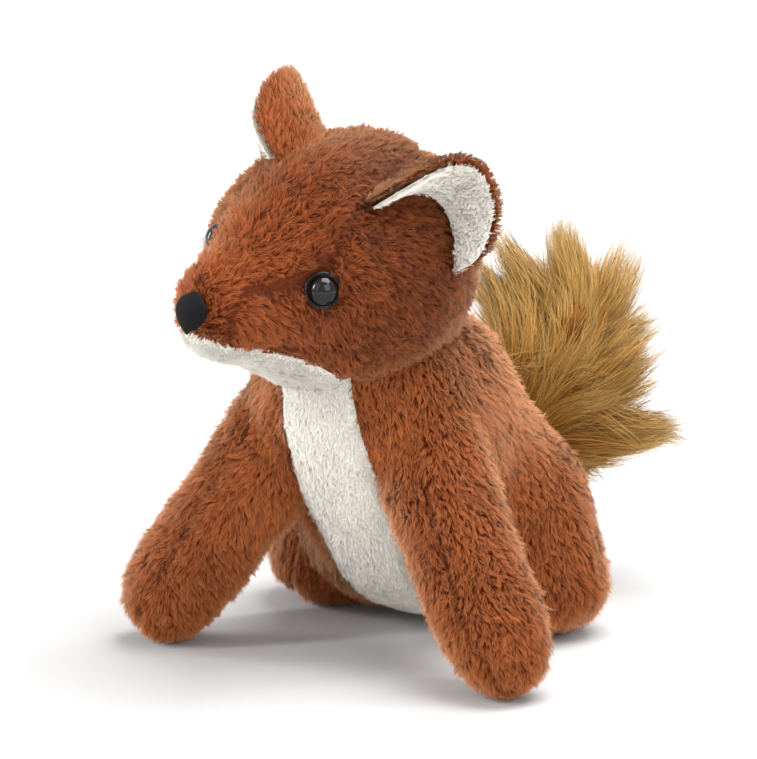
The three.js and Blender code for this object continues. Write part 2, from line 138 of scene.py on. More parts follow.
# The nose, in millimetres: how wide its patch is from its top to its lower point, the stitches in its two
# layers, and how high the thread lies over the cloth, layer by layer and over the padding's middle
NOSE_HALF_WIDTH = 2.95
NOSE_WIDTHS = ((0, 0.08, 0.2, 0.4, 0.6, 0.8, 0.93, 1), (0.45, 0.74, 0.94, 1, 0.9, 0.64, 0.36, 0.12))
NOSE_TOP, NOSE_TOP_CURVE = 4.2, 1.0
NOSE_LOW, NOSE_LOW_CURVE = -3.3, 0.8
NOSE_ASIDE = 0.8
STITCHES = (21, 24)
STITCH_STEPS = 18
THREAD_RADIUS = 0.24
THREAD_LIFT, LAYER_LIFT, PADDING = 0.1, 0.35, 0.9

# How many faces a skin has round it and along it
GRIDS = {
    "head": (112, 92), "torso": (104, 84), "leg": (60, 60),
    "ear": (64, 40), "lining": (56, 36), "core": (28, 24),
}

# How deep the cloth lies under the tips of its pile, how far a seam draws it in, and how far from a seam that
# shows, in millimetres. Each row of LUMPS is a size of waves, their seed and their height.
RUST_DEPTH = 2.0
CREAM_DEPTH = 0.9
GROOVE, LEG_GROOVE = 0.8, 0.6
SEAM_BLEND = 1.2
SEAM_WIDTH = 1.1
LUMPS = ((11, 31, 0.45), (5, 32, 0.2))
BARE_SINK, BARE_WIDTH = 0.7, 1.4
FLOOR_GAP = 0.3
FILLET = 15

# Where strands grow, in millimetres: how far from their panel's solid, how far inside a neighbour, how near
# to what is bare, and how deep in the cloth
SEWN_REACH, LONE_REACH = 4, 12
BURIED = -0.35
BARE_EDGE = 0.4
ROOT_DEPTH = 0.15
TUFT_STRANDS = 6

# How strands take to a seam and to what stays bare: how far they part there, how much shorter they are at a
# seam, and how much darker as painted shade in its crease
SEAM_PARTING, BARE_PARTING = 1.8, 1.6
SEAM_SHORTER, SEAM_PAINTED_SHADE = 0.68, 0.7

# The sizes of the waves in which strands are combed, vary in height and lean, and change tone, in millimetres
COMB_WAVE, TUFT_WAVE, HEIGHT_WAVE, TONE_WAVE, DRIFT_WAVE = 6, 1.5, 2.2, 3.5, 14

# How each kind of pile lies and is toned, and how closely it grows.
RUST_LOOK = {"lean": (0.5, 1.15), "rough": 0.4, "clump": 0.4, "soft": 0.8, "turn": 0.25, "contrast": 0.12}
CREAM_LOOK = {"lean": (0.6, 1.2), "rough": 0.35, "clump": 0.25, "soft": 0.92, "turn": 0.12, "contrast": 0.03}
HEAD_LOOK = {**RUST_LOOK, "rough": 0.7, "soft": 0.78, "contrast": 0.17}
# How deep the seams look on the back, the legs and the head, with painted shade in them
BACK_SEAM, LEG_SEAM_DEPTH, HEAD_SEAM_DEPTH = 0.8, 0.5, 1.3
# How much lighter each kind of pile is: the chin's is darker, as painted shade, and the ear linings' paler,
# as painted light
RUST_SHADE, CHIN_SHADE, BELLY_SHADE, LINING_PAINTED_LIGHT = 0.05, -0.2, 0.05, 0.3
# The head's pile is paler at the muzzle's tip and darker behind: painted light and painted shade
MUZZLE_SHADES = ((-40, -28, -14, 2), (0.5, 0.2, -0.18, -0.32))
EAR_PILE = 0.72
CREAM_CLOSER, LINING_CLOSER = 1.1, 1.6
SEEDS = {"head": 3, "chin": 40, "torso": 70, "belly": 90, "legs": 200, "ears": 300, "linings": 315}

# How the piles take light: how far the tones of strands spread, the sheen, and the colour and share of the
# painted sheen, a rim colour that a pile's colour turns to where it is seen edge on; that colour also tints
# the sheen
# The head's pile is a darker copy of the brown, with a darker rim: painted shade
HEAD_PAINTED_SHADE = (0.71, 0.64, 0.61)
# The chin's cream is a darker copy of the belly's: painted shade
CHIN_PAINTED_SHADE = 0.82
RUST_LIGHT = {"spread": 1.0, "sheen": 0.25, "sheen_and_painted_rim_colour": (0.8, 0.42, 0.22), "rim": 0.65}
HEAD_LIGHT = {"spread": 1.0, "sheen": 0.25, "sheen_and_painted_rim_colour": (0.66, 0.33, 0.17), "rim": 0.6}
CREAM_LIGHT = {"spread": 0.4, "sheen": 0.1, "sheen_and_painted_rim_colour": (0.95, 0.93, 0.88), "rim": 0.1}
LINING_LIGHT = {**CREAM_LIGHT, "spread": 0.2}
GOLD_LIGHT = {"spread": 0.5, "sheen": 0.2, "sheen_and_painted_rim_colour": (0.85, 0.55, 0.24), "rim": 0.2}
KNIT_SCALE = 1600.0

# The photograph's view: the camera's turn and rise in degrees, its distance and its middle in metres, and the
# picture's size, centre and focal length in pixels
VIEW_TURN, VIEW_RISE = 29.5, 13
VIEW_DISTANCE = 0.8
VIEW_MIDDLE = (-0.0028, -0.025, 0.055)
PICTURE_WIDTH, PICTURE_HEIGHT = 757, 759
PICTURE_CENTRE = (378, 360)
FOCAL = 4160
SENSOR = 36
NEAREST, FARTHEST = 0.05, 20

# The lights, in metres: where each stands, its width and height, and its share of the top's or sides' power
LIGHT_TARGET = Vector((0, -0.02, 0.05))
TOP_LIGHTS = {"top_light": ((0.3, 0.12, 1.0), (0.8, 0.8), 1)}
SIDE_LIGHTS = {
    "front_light": ((-0.25, -1.0, 0.6), (0.9, 0.9), 0.45),
    "front_strip": ((-0.55, -0.82, 0.54), (0.05, 0.42), 1),
    "right_light": ((0.95, -0.45, 0.55), (0.7, 0.7), 0.9),
    "left_strip": ((-0.93, -0.3, 0.3), (0.2, 0.5), 0.9),
    "right_strip": ((0.55, 0.8, 0.4), (0.06, 0.5), 0.5),
}
FLOOR_SIZE = 3
FLOOR_DROP = 0.0002
SEEN_FLOOR, LIT_FLOOR = 0.58, 0.86

# How the pile lies on each panel: places and the ways that the strands point there. The head's are in the
# head's own axes, the others in the fox's, and a right panel mirrors its left one.
NAPS = {
    "face_panel": [
        ((0, -42, 2), (0.1, 0.8, 0.5)),
        ((-6, -30, 10), (-0.2, 0.9, 0.2)),
        ((6, -30, 10), (0.5, 0.8, 0.1)),
        ((-8, -14, 20), (0.1, 0.9, 0.5)),
        ((8, -14, 20), (0.7, 0.7, 0.1)),
        ((0, 2, 26), (0.5, 0.9, 0.0)),
        ((0, 14, 20), (0.2, 0.8, -0.7)),
    ],
    "cheek_panel_left": [
        ((6, -40, 0), (0.2, 0.9, -0.4)),
        ((12, -28, -4), (0.1, 0.75, -0.65)),
        ((16, -24, -12), (0, 0.9, -0.4)),
        ((20, -10, -12), (0, 0.85, -0.5)),
        ((22, -6, 8), (0.3, 0.6, -0.75)),
        ((25, 4, 0), (0, 0.35, -0.95)),
        ((18, 18, 6), (-0.2, 0.05, -1)),
        ((16, 16, -10), (-0.3, -0.1, -1)),
        ((6, 24, 0), (0, 0, -1)),
    ],
    "chin_panel": [((0, -40, -8), (0, 1, -0.2)), ((0, -20, -20), (0, 1, -0.1))],
    "belly_panel": [((0, -60, 50), (0, 0.1, -1)), ((0, -40, 10), (0, 0.5, -1))],
    "back_panel_left": [
        ((16, -40, 50), (0.35, -0.2, -0.9)),
        ((20, -20, 40), (0.2, 0.3, -0.95)),
        ((10, 6, 40), (0.1, 0.4, -0.9)),
        ((14, -30, 20), (0, -0.3, -1)),
        ((12, 14, 14), (0.1, 0.2, -1)),
    ],
    "front_leg_left_outer_panel": [
        ((22, -34, 45), (0.25, 0.35, -0.9)),
        ((34, -38, 30), (0.4, 0.75, -0.5)),
        ((42, -44, 14), (0.35, 0.85, -0.4)),
        ((38, -56, 8), (0.2, 0.7, -0.7)),
        ((24, -52, 34), (0.5, 0.4, -0.75)),
    ],
    "front_leg_left_inner_panel": [
        ((16, -46, 40), (0.2, 0.1, -0.95)),
        ((24, -54, 20), (0.3, -0.15, -0.95)),
        ((28, -42, 8), (0.3, 0.1, -0.9)),
    ],
    "hind_leg_left_outer_panel": [
        ((30, -4, 30), (0.3, -0.1, -0.95)),
        ((38, -6, 14), (0.15, -0.2, -0.95)),
        ((30, 6, 20), (0.2, 0.3, -0.9)),
    ],
    "hind_leg_left_inner_panel": [((16, -8, 18), (0.1, -0.2, -1)), ((20, 4, 10), (0.1, 0.2, -1))],
}

# The tail's tufts, in millimetres: where each one's tip lies and its share of the strands, how wide a tuft is
# and how many wisps it parts into
TUFT_RADIUS, INNER_RADIUS = 5.2, 5.5
WISPS = 6
WISP_SPREAD = 0.42
STRAYS = 0.08
TUFTS = [
    ((-4, 28, 73), 0.8), ((1, 29, 68), 0.7), ((7, 33, 72.5), 1.2), ((12.5, 34, 65), 0.9), ((18, 38, 68), 1.1),
    ((18, 36, 58), 0.7), ((24.5, 38, 55), 0.9), ((27, 38.5, 49.5), 1.0), ((26, 37, 43), 0.8),
    ((31, 36, 32), 1.1), ((27, 33, 28), 0.8), ((21, 29, 25), 0.9), ((17, 27, 24), 0.7),
    ((8, 44, 62), 1.0), ((-2, 40, 60), 1.0), ((-8, 34, 56), 0.9), ((-8, 28, 46), 0.8), ((-3, 40, 44), 1.0),
    ((6, 47, 50), 1.0), ((14, 46, 44), 1.0), ((8, 45, 36), 0.9), ((18, 42, 32), 0.8), ((0, 34, 32), 0.7),
    ((-7, 24, 66), 0.9), ((-7, 22, 57), 0.9), ((-6, 20, 48), 0.8), ((-3, 25, 61), 0.8),
    ((8, 24, 60), 0.9), ((2, 22, 54), 0.8), ((14, 26, 52), 0.9), ((20, 28, 40), 0.9), ((10, 38, 66), 0.8),
]

# How the tail's strands wander: the size of the waves and how far they carry a tip, in millimetres
SWAY, WANDER, FRIZZ = (12, 3.4), (7, 1.6), (2, 0.5)
DRIFT = 0.8


def metres(name, about, size):
    return bpy.props.FloatProperty(name=name, description=about, default=size, unit="LENGTH")


def colour_of(name, about, colour):
    return bpy.props.FloatVectorProperty(name=name, description=about, default=colour, subtype="COLOR")


def watts(name, about, power):
    return bpy.props.FloatProperty(name=name, description=about, default=power, unit="POWER")


class PlushFoxPile(bpy.types.PropertyGroup):
    rust_length: metres("Brown pile length", "Length of a strand on the brown panels", 0.0026)
    cream_length: metres("Cream pile length", "Length of a strand on the belly and the chin", 0.0012)
    lining_length: metres("Lining pile length", "Length of a strand in the ears", 0.0013)
    strand_width: metres("Strand width", "Width of a strand of short pile at its root", 0.00016)
    tail_strand_width: metres("Tail strand width", "Width of a strand of the tail", 0.00021)
    per_mm2: bpy.props.FloatProperty(
        name="Strands to the square millimetre", description="How densely the brown pile grows", default=15.0,
        min=1.0,
    )
    tail_strands: bpy.props.IntProperty(
        name="Tail strands", description="How many strands an outer layer of the tail has", default=21500,
        min=100,
    )
    clump: bpy.props.FloatProperty(
        name="Clumping", description="How far tips on the head draw together", default=0.42, min=0.0, max=1.0,
        subtype="FACTOR",
    )


class PlushFoxColours(bpy.types.PropertyGroup):
    # Each root colour is darker, as painted shade deep in the pile, and each tip colour paler, as painted
    # light on the tips
    rust_root: colour_of("Brown root", "Brown pile near the cloth", (0.165, 0.034, 0.0085))
    rust_middle: colour_of("Brown middle", "Brown pile half way up", (0.255, 0.061, 0.0150))
    rust_tip: colour_of("Brown tip", "Brown pile at its tips", (0.39, 0.121, 0.035))
    cream_root: colour_of("Cream root", "Cream pile near the cloth", (0.72, 0.685, 0.60))
    cream_tip: colour_of("Cream tip", "Cream pile at its tips", (0.80, 0.765, 0.685))
    gold_root: colour_of("Gold root", "The brush near its core", (0.24, 0.092, 0.014))
    gold_middle: colour_of("Gold middle", "The brush half way out", (0.32, 0.138, 0.021))
    gold_tip: colour_of("Gold tip", "The brush at its tips", (0.57, 0.355, 0.115))


class PlushFoxStage(bpy.types.PropertyGroup):
    key: watts("Top light", "Power of the large light over the fox", 17.0)
    fill: watts("Side lights", "Power that each of the lights round the fox has a share of", 5.0)
    ambient: bpy.props.FloatProperty(
        name="Room light", description="Strength of the light from all round", default=0.37, min=0.0
    )


# Curves, forms and fields


def unit(vectors):
    vectors = np.asarray(vectors, float)
    return vectors / np.maximum(np.linalg.norm(vectors, axis=-1, keepdims=True), 1e-12)


class Line:
    """A smooth line through points, which a form's rings are strung on."""

    def __init__(self, points):
        points = np.array(points, float)
        run = np.vstack([2 * points[0] - points[1], points, 2 * points[-1] - points[-2]])
        gap = np.sum((run[1:] - run[:-1]) ** 2, axis=1)[:, None] ** 0.25
        a, b, c, d = run[:-3], run[1:-2], run[2:-1], run[3:]
        before, here, after = gap[:-2], gap[1:-1], gap[2:]
        leave = ((b - a) / before - (c - a) / (before + here) + (c - b) / here) * here
        arrive = ((c - b) / here - (d - b) / (here + after) + (d - c) / after) * here
        self.parts = np.stack([b, leave, 3 * (c - b) - 2 * leave - arrive, 2 * (b - c) + leave + arrive])
        self.ticks = np.linspace(0, 1, 201)
        steps = np.linalg.norm(np.diff(self.at(self.ticks), axis=0), axis=1)
        self.lengths = np.concatenate([[0], np.cumsum(steps)])

    def at(self, share):
        place = np.clip(share, 0, 1) * self.parts.shape[1]
        part = np.minimum(place.astype(int), self.parts.shape[1] - 1)
        t = (place - part)[:, None]
        c = self.parts[:, part]
        return c[0] + t * (c[1] + t * (c[2] + t * c[3]))

    def tick(self, share):
        return np.interp(np.clip(share, 0, 1) * self.lengths[-1], self.lengths, self.ticks)

    def along(self, share):
        return self.at(self.tick(share))

    def ahead(self, share):
        tick = self.tick(share)
        return unit(self.at(np.minimum(tick + 1e-4, 1)) - self.at(np.maximum(tick - 1e-4, 0)))


def form_points(form, share, angle):
    """Points of a sewn form's surface: share runs from its first end to its last, and angle goes round it."""
    rows = Line([(place, wide**2, thick**2) for place, wide, thick in form["shares"]]).at(share)
    line = Line(form["spine"])
    ahead = line.ahead(rows[:, 0])
    if "ring_axis" in form:
        ahead = np.broadcast_to(unit(form["ring_axis"]), ahead.shape)
    side = np.asarray(form["side"], float)
    across = unit(side - ahead * (ahead @ side)[:, None])
    up = np.cross(ahead, across)
    wide = np.sqrt(np.maximum(rows[:, 1], 0)) * np.cos(angle)
    thick = np.sqrt(np.maximum(rows[:, 2], 0)) * np.sin(angle)
    out = form["width"] / 2 * wide
    rise = form["thickness"] / 2 * thick + form.get("cup", 0) * wide**2
    points = (line.along(rows[:, 0]) + across * out[:, None] + up * rise[:, None]) * MM
    if "pose" in form:
        pose = np.array(form["pose"])
        points = points @ pose[:3, :3].T + pose[:3, 3]
    return points


def in_head(points):
    """Places in the head's own axes, in millimetres."""
    pose = np.array(HEAD_POSE)
    return (points - pose[:3, 3]) @ pose[:3, :3] / MM


def leg_form(kind, side):
    sign = 1 if side == "left" else -1
    leg = LEGS[kind]
    hip = np.array(JOINTS[f"{kind}_{side}"]["pos_m"]) / MM
    paw = np.array(leg["paw"]) * (sign, 1, 1)
    middle = (hip + paw) / 2 - (sign * leg["bow"], 0, 0)
    end = paw + unit(paw - middle) * leg["thickness"] / 2
    return {
        "spine": [hip, middle, paw, end],
        "side": (0, 1, 0),
        "width": leg["thickness"],
        "thickness": leg["thickness"],
        "shares": LEG_SHARES,
    }


def ear_axes(side):
    """Where an ear is hinged, in millimetres, and the ways that it rises and faces."""
    sign = 1 if side == "left" else -1
    turn = np.array(HEAD_POSE)[:3, :3]
    rise = unit(np.array(EAR_RISE) * (sign, 1, 1))
    face = np.array(EAR_FACE) * (sign, 1, 1)
    face = unit(face - rise * (face @ rise))
    ahead = np.cross(rise, face) * sign
    ahead *= -np.sign(ahead[1])
    tilt, twist = math.radians(EAR_TILT), math.radians(EAR_TURN)
    face = face * math.cos(twist) + ahead * math.sin(twist)
    ahead = unit(ahead - face * (ahead @ face))
    rise = rise * math.cos(tilt) - ahead * math.sin(tilt)
    seat = np.array(JOINTS[f"ear_{side}"]["pos_m"]) / MM
    return seat, turn @ rise, turn @ face


def ear_form(side, width, height, thickness, forward, back=0):
    seat, rise, face = ear_axes(side)
    behind = np.cross(face, rise)
    behind *= np.sign(behind[1])
    foot = seat - rise * EAR_ROOT + face * forward + behind * back
    top = seat + rise * height + face * forward + behind * back
    return {
        "spine": [foot, top],
        "side": np.cross(face, rise),
        "width": width,
        "thickness": thickness,
        "shares": EAR_SHARES,
        "cup": EAR_CUP,
    }


def tail_form():
    root = np.array(JOINTS["tail"]["pos_m"]) / MM
    middle = root + np.array(TAIL_CORE["middle"]) * TAIL_CORE["length"]
    tip = root + np.array(TAIL_CORE["tip"]) * TAIL_CORE["length"]
    return {
        "spine": [root, middle, (middle + tip) / 2],
        "side": (1, 0, 0),
        "width": TAIL_CORE["thickness"],
        "thickness": TAIL_CORE["thickness"],
        "shares": TAIL_CORE_SHARES,
    }


def ripple(points, size, seed):
    """Smooth noise of three numbers at each point, between -1 and 1, whose waves are about size long."""
    lattice = np.random.default_rng(seed).uniform(-1, 1, (24, 24, 24, 3))
    place = np.asarray(points) / size + 100
    cell = np.floor(place).astype(int)
    t = place - cell
    t = t * t * (3 - 2 * t)
    total = np.zeros_like(t)
    for corner in np.ndindex(2, 2, 2):
        share = np.prod(np.where(corner, t, 1 - t), axis=1)[:, None]
        at = (cell + corner) % 24
        total += share * lattice[at[:, 0], at[:, 1], at[:, 2]]
    return total


# Skins: a form's cloth, and what its pile needs to know


class Skin:
    """A sewn form: where its cloth lies under the pile, and how far each place is from each of its panels.

    The cloth lies on the form inner, or else at depths, one for each panel, under the tips of the pile. It
    sinks round the nodes that are bare, and widen may change how far each place is from the panels.
    """

    def __init__(self, form, panels, grid, depths=None, inner=None, groove=GROOVE, bare=(), widen=None):
        bm = bmesh.new()
        bmesh.ops.create_uvsphere(bm, u_segments=grid[0], v_segments=grid[1], radius=1)
        ball = np.array([vert.co for vert in bm.verts])
        share, angle = (1 - ball[:, 2]) / 2, np.arctan2(ball[:, 1], ball[:, 0])
        self.tips = form_points(form, share, angle)
        set_places(bm, self.tips)
        if bm.calc_volume(signed=True) < 0:
            bmesh.ops.reverse_faces(bm, faces=bm.faces)
        bm.normal_update()
        self.normals = np.array([vert.normal for vert in bm.verts])
        self.panels = panels
        self.near, ways = distances(self.tips, panels)
        if widen:
            widen(self.near, self.tips)
        order = np.argsort(self.near, axis=1)
        self.seam, self.seam_way = np.full(len(ball), FAR), np.zeros_like(ball)
        if len(panels) > 1:
            self.seam = np.take_along_axis(self.near, order[:, 1:2], 1)[:, 0]
            self.seam_way = ways[np.arange(len(ball)), order[:, 1]]
        self.dip = np.exp(-((self.seam / (SEAM_WIDTH * MM)) ** 2))
        if inner is None:
            depth = np.array(depths)[order] * MM
            own = np.clip(0.5 + self.seam / (SEAM_BLEND * MM), 0.5, 1)
            depth = depth[:, 0] * own + depth[:, min(1, len(panels) - 1)] * (1 - own)
            self.cloth = self.tips - self.normals * (depth + groove * MM * self.dip)[:, None]
            lumps = sum(ripple(self.cloth, size * MM, seed)[:, 0] * high for size, seed, high in LUMPS)
            self.cloth += self.normals * (lumps * MM * (1 - self.dip))[:, None]
        else:
            self.cloth = form_points(inner, share, angle)
        self.bm = bm
        pale = [panels[k] in ("belly_panel", "chin_panel") for k in order[:, 0]]
        for face in bm.faces:
            face.material_index = int(np.mean([pale[vert.index] for vert in face.verts]) > 0.5)
        self.tris = np.array([[loop.vert.index for loop in tri] for tri in bm.calc_loop_triangles()])
        self.settle()
        self.bare_gap, self.bare_way = clearance(self.cloth, bare)
        sunk = BARE_SINK * MM * np.exp(-((self.bare_gap / (BARE_WIDTH * MM)) ** 2))
        self.cloth -= self.normals * sunk[:, None]
        self.settle()
        self.cover = np.full(len(ball), FAR)

    def settle(self):
        """Keeps the cloth above the floor, and brings the mesh, the normals and the tree up to date."""
        self.cloth[:, 2] = np.maximum(self.cloth[:, 2], FLOOR_GAP * MM)
        set_places(self.bm, self.cloth)
        self.bm.normal_update()
        self.normals = np.array([vert.normal for vert in self.bm.verts])
        self.tree = BVHTree.FromBMesh(self.bm)

    def fillet(self, others, reach):
        """How far each place moves out so that the creases where the form meets others are filled."""
        push = np.zeros(len(self.cloth))
        for other in others:
            gap = np.abs(outside(self.cloth, other.tree)) / (reach * MM)
            push = np.maximum(push, reach * MM / 4 * np.clip(1 - gap, 0, 1) ** 2)
        return self.normals * push[:, None]

    def keep_clear_of(self, *others):
        """Marks the places that lie inside another skin, where no pile grows."""
        for other in others:
            self.cover = np.minimum(self.cover, outside(self.cloth, other.tree))


def set_places(bm, places):
    for vert, place in zip(bm.verts, places):
        vert.co = place


def tree_of(node):
    mesh = frame["nodes"][node].data
    return BVHTree.FromPolygons([v.co for v in mesh.vertices], [list(p.vertices) for p in mesh.polygons])


def distances(points, nodes):
    """How far each point is from each node, and the way to it from there."""
    found, ways = np.empty((len(points), len(nodes))), np.empty((len(points), len(nodes), 3))
    for k, node in enumerate(nodes):
        tree = tree_of(node)
        for i, point in enumerate(points):
            place, _, _, found[i, k] = tree.find_nearest(Vector(point))
            ways[i, k] = point - np.array(place)
    return found, unit(ways)


def clearance(points, nodes):
    """How far each point is from the nearest of some nodes, and the way from there to it."""
    if not nodes:
        return np.full(len(points), FAR), np.zeros((len(points), 3))
    found, ways = distances(points, nodes)
    nearest = np.arange(len(points)), np.argmin(found, axis=1)
    return found[nearest], ways[nearest]


def outside(points, tree):
    """How far each point is outside a closed form, and below zero inside it."""
    found = np.empty(len(points))
    for i, point in enumerate(points):
        place, normal, _, far = tree.find_nearest(Vector(point))
        found[i] = far if (Vector(point) - place).dot(normal) > 0 else -far
    return found


def linked(name, mesh):
    piece = bpy.data.objects.new(name, mesh)
    bpy.context.scene.collection.objects.link(piece)
    return piece


def mesh_of(name, bm):
    mesh = bpy.data.meshes.new(name)
    bm.to_mesh(mesh)
    return mesh


def evaluated(piece):
    """A new mesh of what a piece is with its modifiers, or of what a curve looks like."""
    graph = bpy.context.evaluated_depsgraph_get()
    return bpy.data.meshes.new_from_object(piece.evaluated_get(graph))


def cloth_piece(name, skin, *materials, cut_by=()):
    """The cloth of a skin as a closed piece, cut back from the skins that it is sewn to."""
    piece = linked(name, mesh_of(name, skin.bm))
    for material in materials:
        piece.data.materials.append(material)
    for other in cut_by:
        cutter = linked(f"{name}_cutter", mesh_of(f"{name}_cutter", other.bm))
        cut = piece.modifiers.new("Cut", "BOOLEAN")
        cut.operation, cut.solver, cut.object = "DIFFERENCE", "MANIFOLD", cutter
        spent = (piece.data, cutter.data)
        piece.data = evaluated(piece)
        piece.modifiers.clear()
        bpy.data.objects.remove(cutter)
        for mesh in spent:
            bpy.data.meshes.remove(mesh)
        piece.data.name = name
        if len(piece.data.polygons) < len(skin.bm.faces) / 4:
            raise RuntimeError(f"{name} was cut away")
    piece.data.shade_smooth()
    return piece


# Pile


def lie_of(panel, points):
    """The way that a panel's strands point at some places, by the guides round them."""
    if panel.startswith("ear_"):
        return np.broadcast_to(ear_axes(panel.rsplit("_", 1)[1])[1], points.shape)
    mirror = panel.endswith("right") or "_right_" in panel
    guides = NAPS.get(panel.replace("right", "left"), [((0, 0, 0), (0, 0, -1))])
    on_head = panel in HEAD_PANELS
    flip = np.array((-1, 1, 1)) if mirror else np.ones(3)
    local = (in_head(points) if on_head else points / MM) * flip
    total = np.zeros_like(local)
    for place, way in guides:
        far = np.sum((local - place) ** 2, axis=1)
        total += np.outer(1 / (far + 12) ** 1.5, unit(way))
    total = unit(total) * flip
    return total @ np.array(HEAD_POSE)[:3, :3].T if on_head else total


def strand_roots(skin, panel, per_mm2, seed):
    """Where a panel's strands grow: place, normal, nearness to a seam and the way from it, and how far what
    stays bare is and the way from it. The random numbers go on from there."""
    rng = np.random.default_rng(seed)
    own = skin.panels.index(panel)
    tris = skin.tris[np.any(np.argmin(skin.near, axis=1)[skin.tris] == own, axis=1)]
    a, b, c = (skin.cloth[tris[:, k]] for k in range(3))
    area = np.linalg.norm(np.cross(b - a, c - a), axis=1) / 2
    count = int(area.sum() / MM**2 * per_mm2)
    spots = (np.arange(count) + rng.random(count)) / count * area.sum()
    chosen = tris[np.minimum(np.searchsorted(np.cumsum(area), spots), len(tris) - 1)]
    u, v = rng.random(count), rng.random(count)
    u, v = np.where(u + v > 1, 1 - u, u), np.where(u + v > 1, 1 - v, v)
    shares = np.stack([1 - u - v, u, v], axis=1)

    def spread(values):
        return np.einsum("nk,nk...->n...", shares, values[chosen])

    near = spread(skin.near)
    reach = SEWN_REACH if len(skin.panels) > 1 else LONE_REACH
    inside = (np.argmin(near, axis=1) == own) & (near[:, own] < reach * MM)
    inside &= (spread(skin.cover) > BURIED * MM) & (spread(skin.bare_gap) > BARE_EDGE * MM)
    fields = (skin.cloth, skin.normals, skin.dip, skin.seam_way, skin.bare_gap, skin.bare_way)
    keep = [spread(values)[inside] for values in fields]
    keep[1] = unit(keep[1])
    return rng, keep


def pile_piece(skin, panel, length, per_mm2, material, seed, lean, rough, clump, soft, turn, contrast,
               shade=0.0, seam=1.0, catch=None):
    """A panel's pile as one piece: short tapered strands that lean the way the pile is combed.

    lean is how far a strand's two halves lean, rough how unevenly they are combed, clump how far the tips
    draw together, soft how evenly they are shaded, turn how far they twist, contrast how much the tones of
    tufts differ, shade how much lighter they are, which carries painted light and shade, seam how deep the
    seams look, with painted shade in them, and catch a way they face.
    """
    pile = bpy.context.scene.plush_fox_pile
    rng, (root, normal, dip, part, gap, away) = strand_roots(skin, panel, per_mm2, seed)
    count, dip = len(root), dip * seam
    tuft = nearest_heads(root, rng)

    def waves(size, step):
        """Smooth noise at the strands' roots, from a seed of its own."""
        return ripple(root, size * MM, seed + step)

    def uneven(strand, tufts):
        """Differences from strand to strand and from tuft to tuft."""
        return rng.normal(0, strand, count) + rng.normal(0, tufts, count)[tuft]

    comb = lie_of(panel, root) + waves(COMB_WAVE, 1) * 0.35 + waves(TUFT_WAVE, 2) * rough
    comb = comb + rng.normal(0, 0.45 * rough, (count, 3))[tuft] + rng.normal(0, 0.14, (count, 3))
    comb += away * np.exp(-gap / (1.1 * MM))[:, None] * BARE_PARTING + part * dip[:, None] * SEAM_PARTING
    comb = unit(comb - normal * np.sum(comb * normal, axis=1)[:, None])
    height = 1 + 0.16 * waves(HEIGHT_WAVE, 3)[:, 0] + uneven(0.08, 0.12)
    height *= length * (1 - SEAM_SHORTER * dip)
    upright = 1 - 0.35 * np.exp(-gap / (1.5 * MM))
    slopes = np.array(lean)[:, None] * (1 + 0.3 * waves(TUFT_WAVE, 4)[:, 1]) * upright
    slopes = slopes + uneven(0.12, 0.16)
    curl = rng.normal(0, 0.5 * rough, count)[tuft][:, None]
    aside = comb * np.cos(curl) + np.cross(normal, comb) * np.sin(curl)
    lower, upper = (
        normal * np.cos(slope)[:, None] + way * np.sin(slope)[:, None]
        for slope, way in zip(slopes, (comb, aside))
    )
    base = root - normal * ROOT_DEPTH * MM
    middle = base + lower * (height / 2)[:, None]
    tip = middle + upper * (height / 2)[:, None]
    pull = clump * rng.uniform(0.5, 1.3, count)[:, None]
    middle = middle + (middle[tuft] - middle) * pull * 0.3
    tip = tip + (tip[tuft] - tip) * pull
    tone = 0.5 + 0.12 * waves(TONE_WAVE, 5)[:, 2] + 0.1 * waves(DRIFT_WAVE, 6)[:, 0] + uneven(0.1, contrast)
    # Painted shade darkens the seams, and shade adds the panel's painted light and shade
    tone = tone - SEAM_PAINTED_SHADE * dip + (shade(root) if callable(shade) else shade)
    if catch is not None:
        normal = unit(normal * 0.5 + catch * 0.6)
    rows = [base, middle, tip]
    width, taper = pile.strand_width, (1, 0.85)
    return blades(f"{panel}_pile", rows, normal, tone, width, taper, material, rng, soft, turn)


def nearest_heads(places, rng):
    """The strand at the middle of the small tuft that each strand belongs to."""
    heads = rng.choice(len(places), max(1, len(places) // TUFT_STRANDS), replace=False)
    tree = KDTree(len(heads))
    for k, head in enumerate(heads):
        tree.insert(places[head], k)
    tree.balance()
    return heads[[tree.find(place)[1] for place in places]]


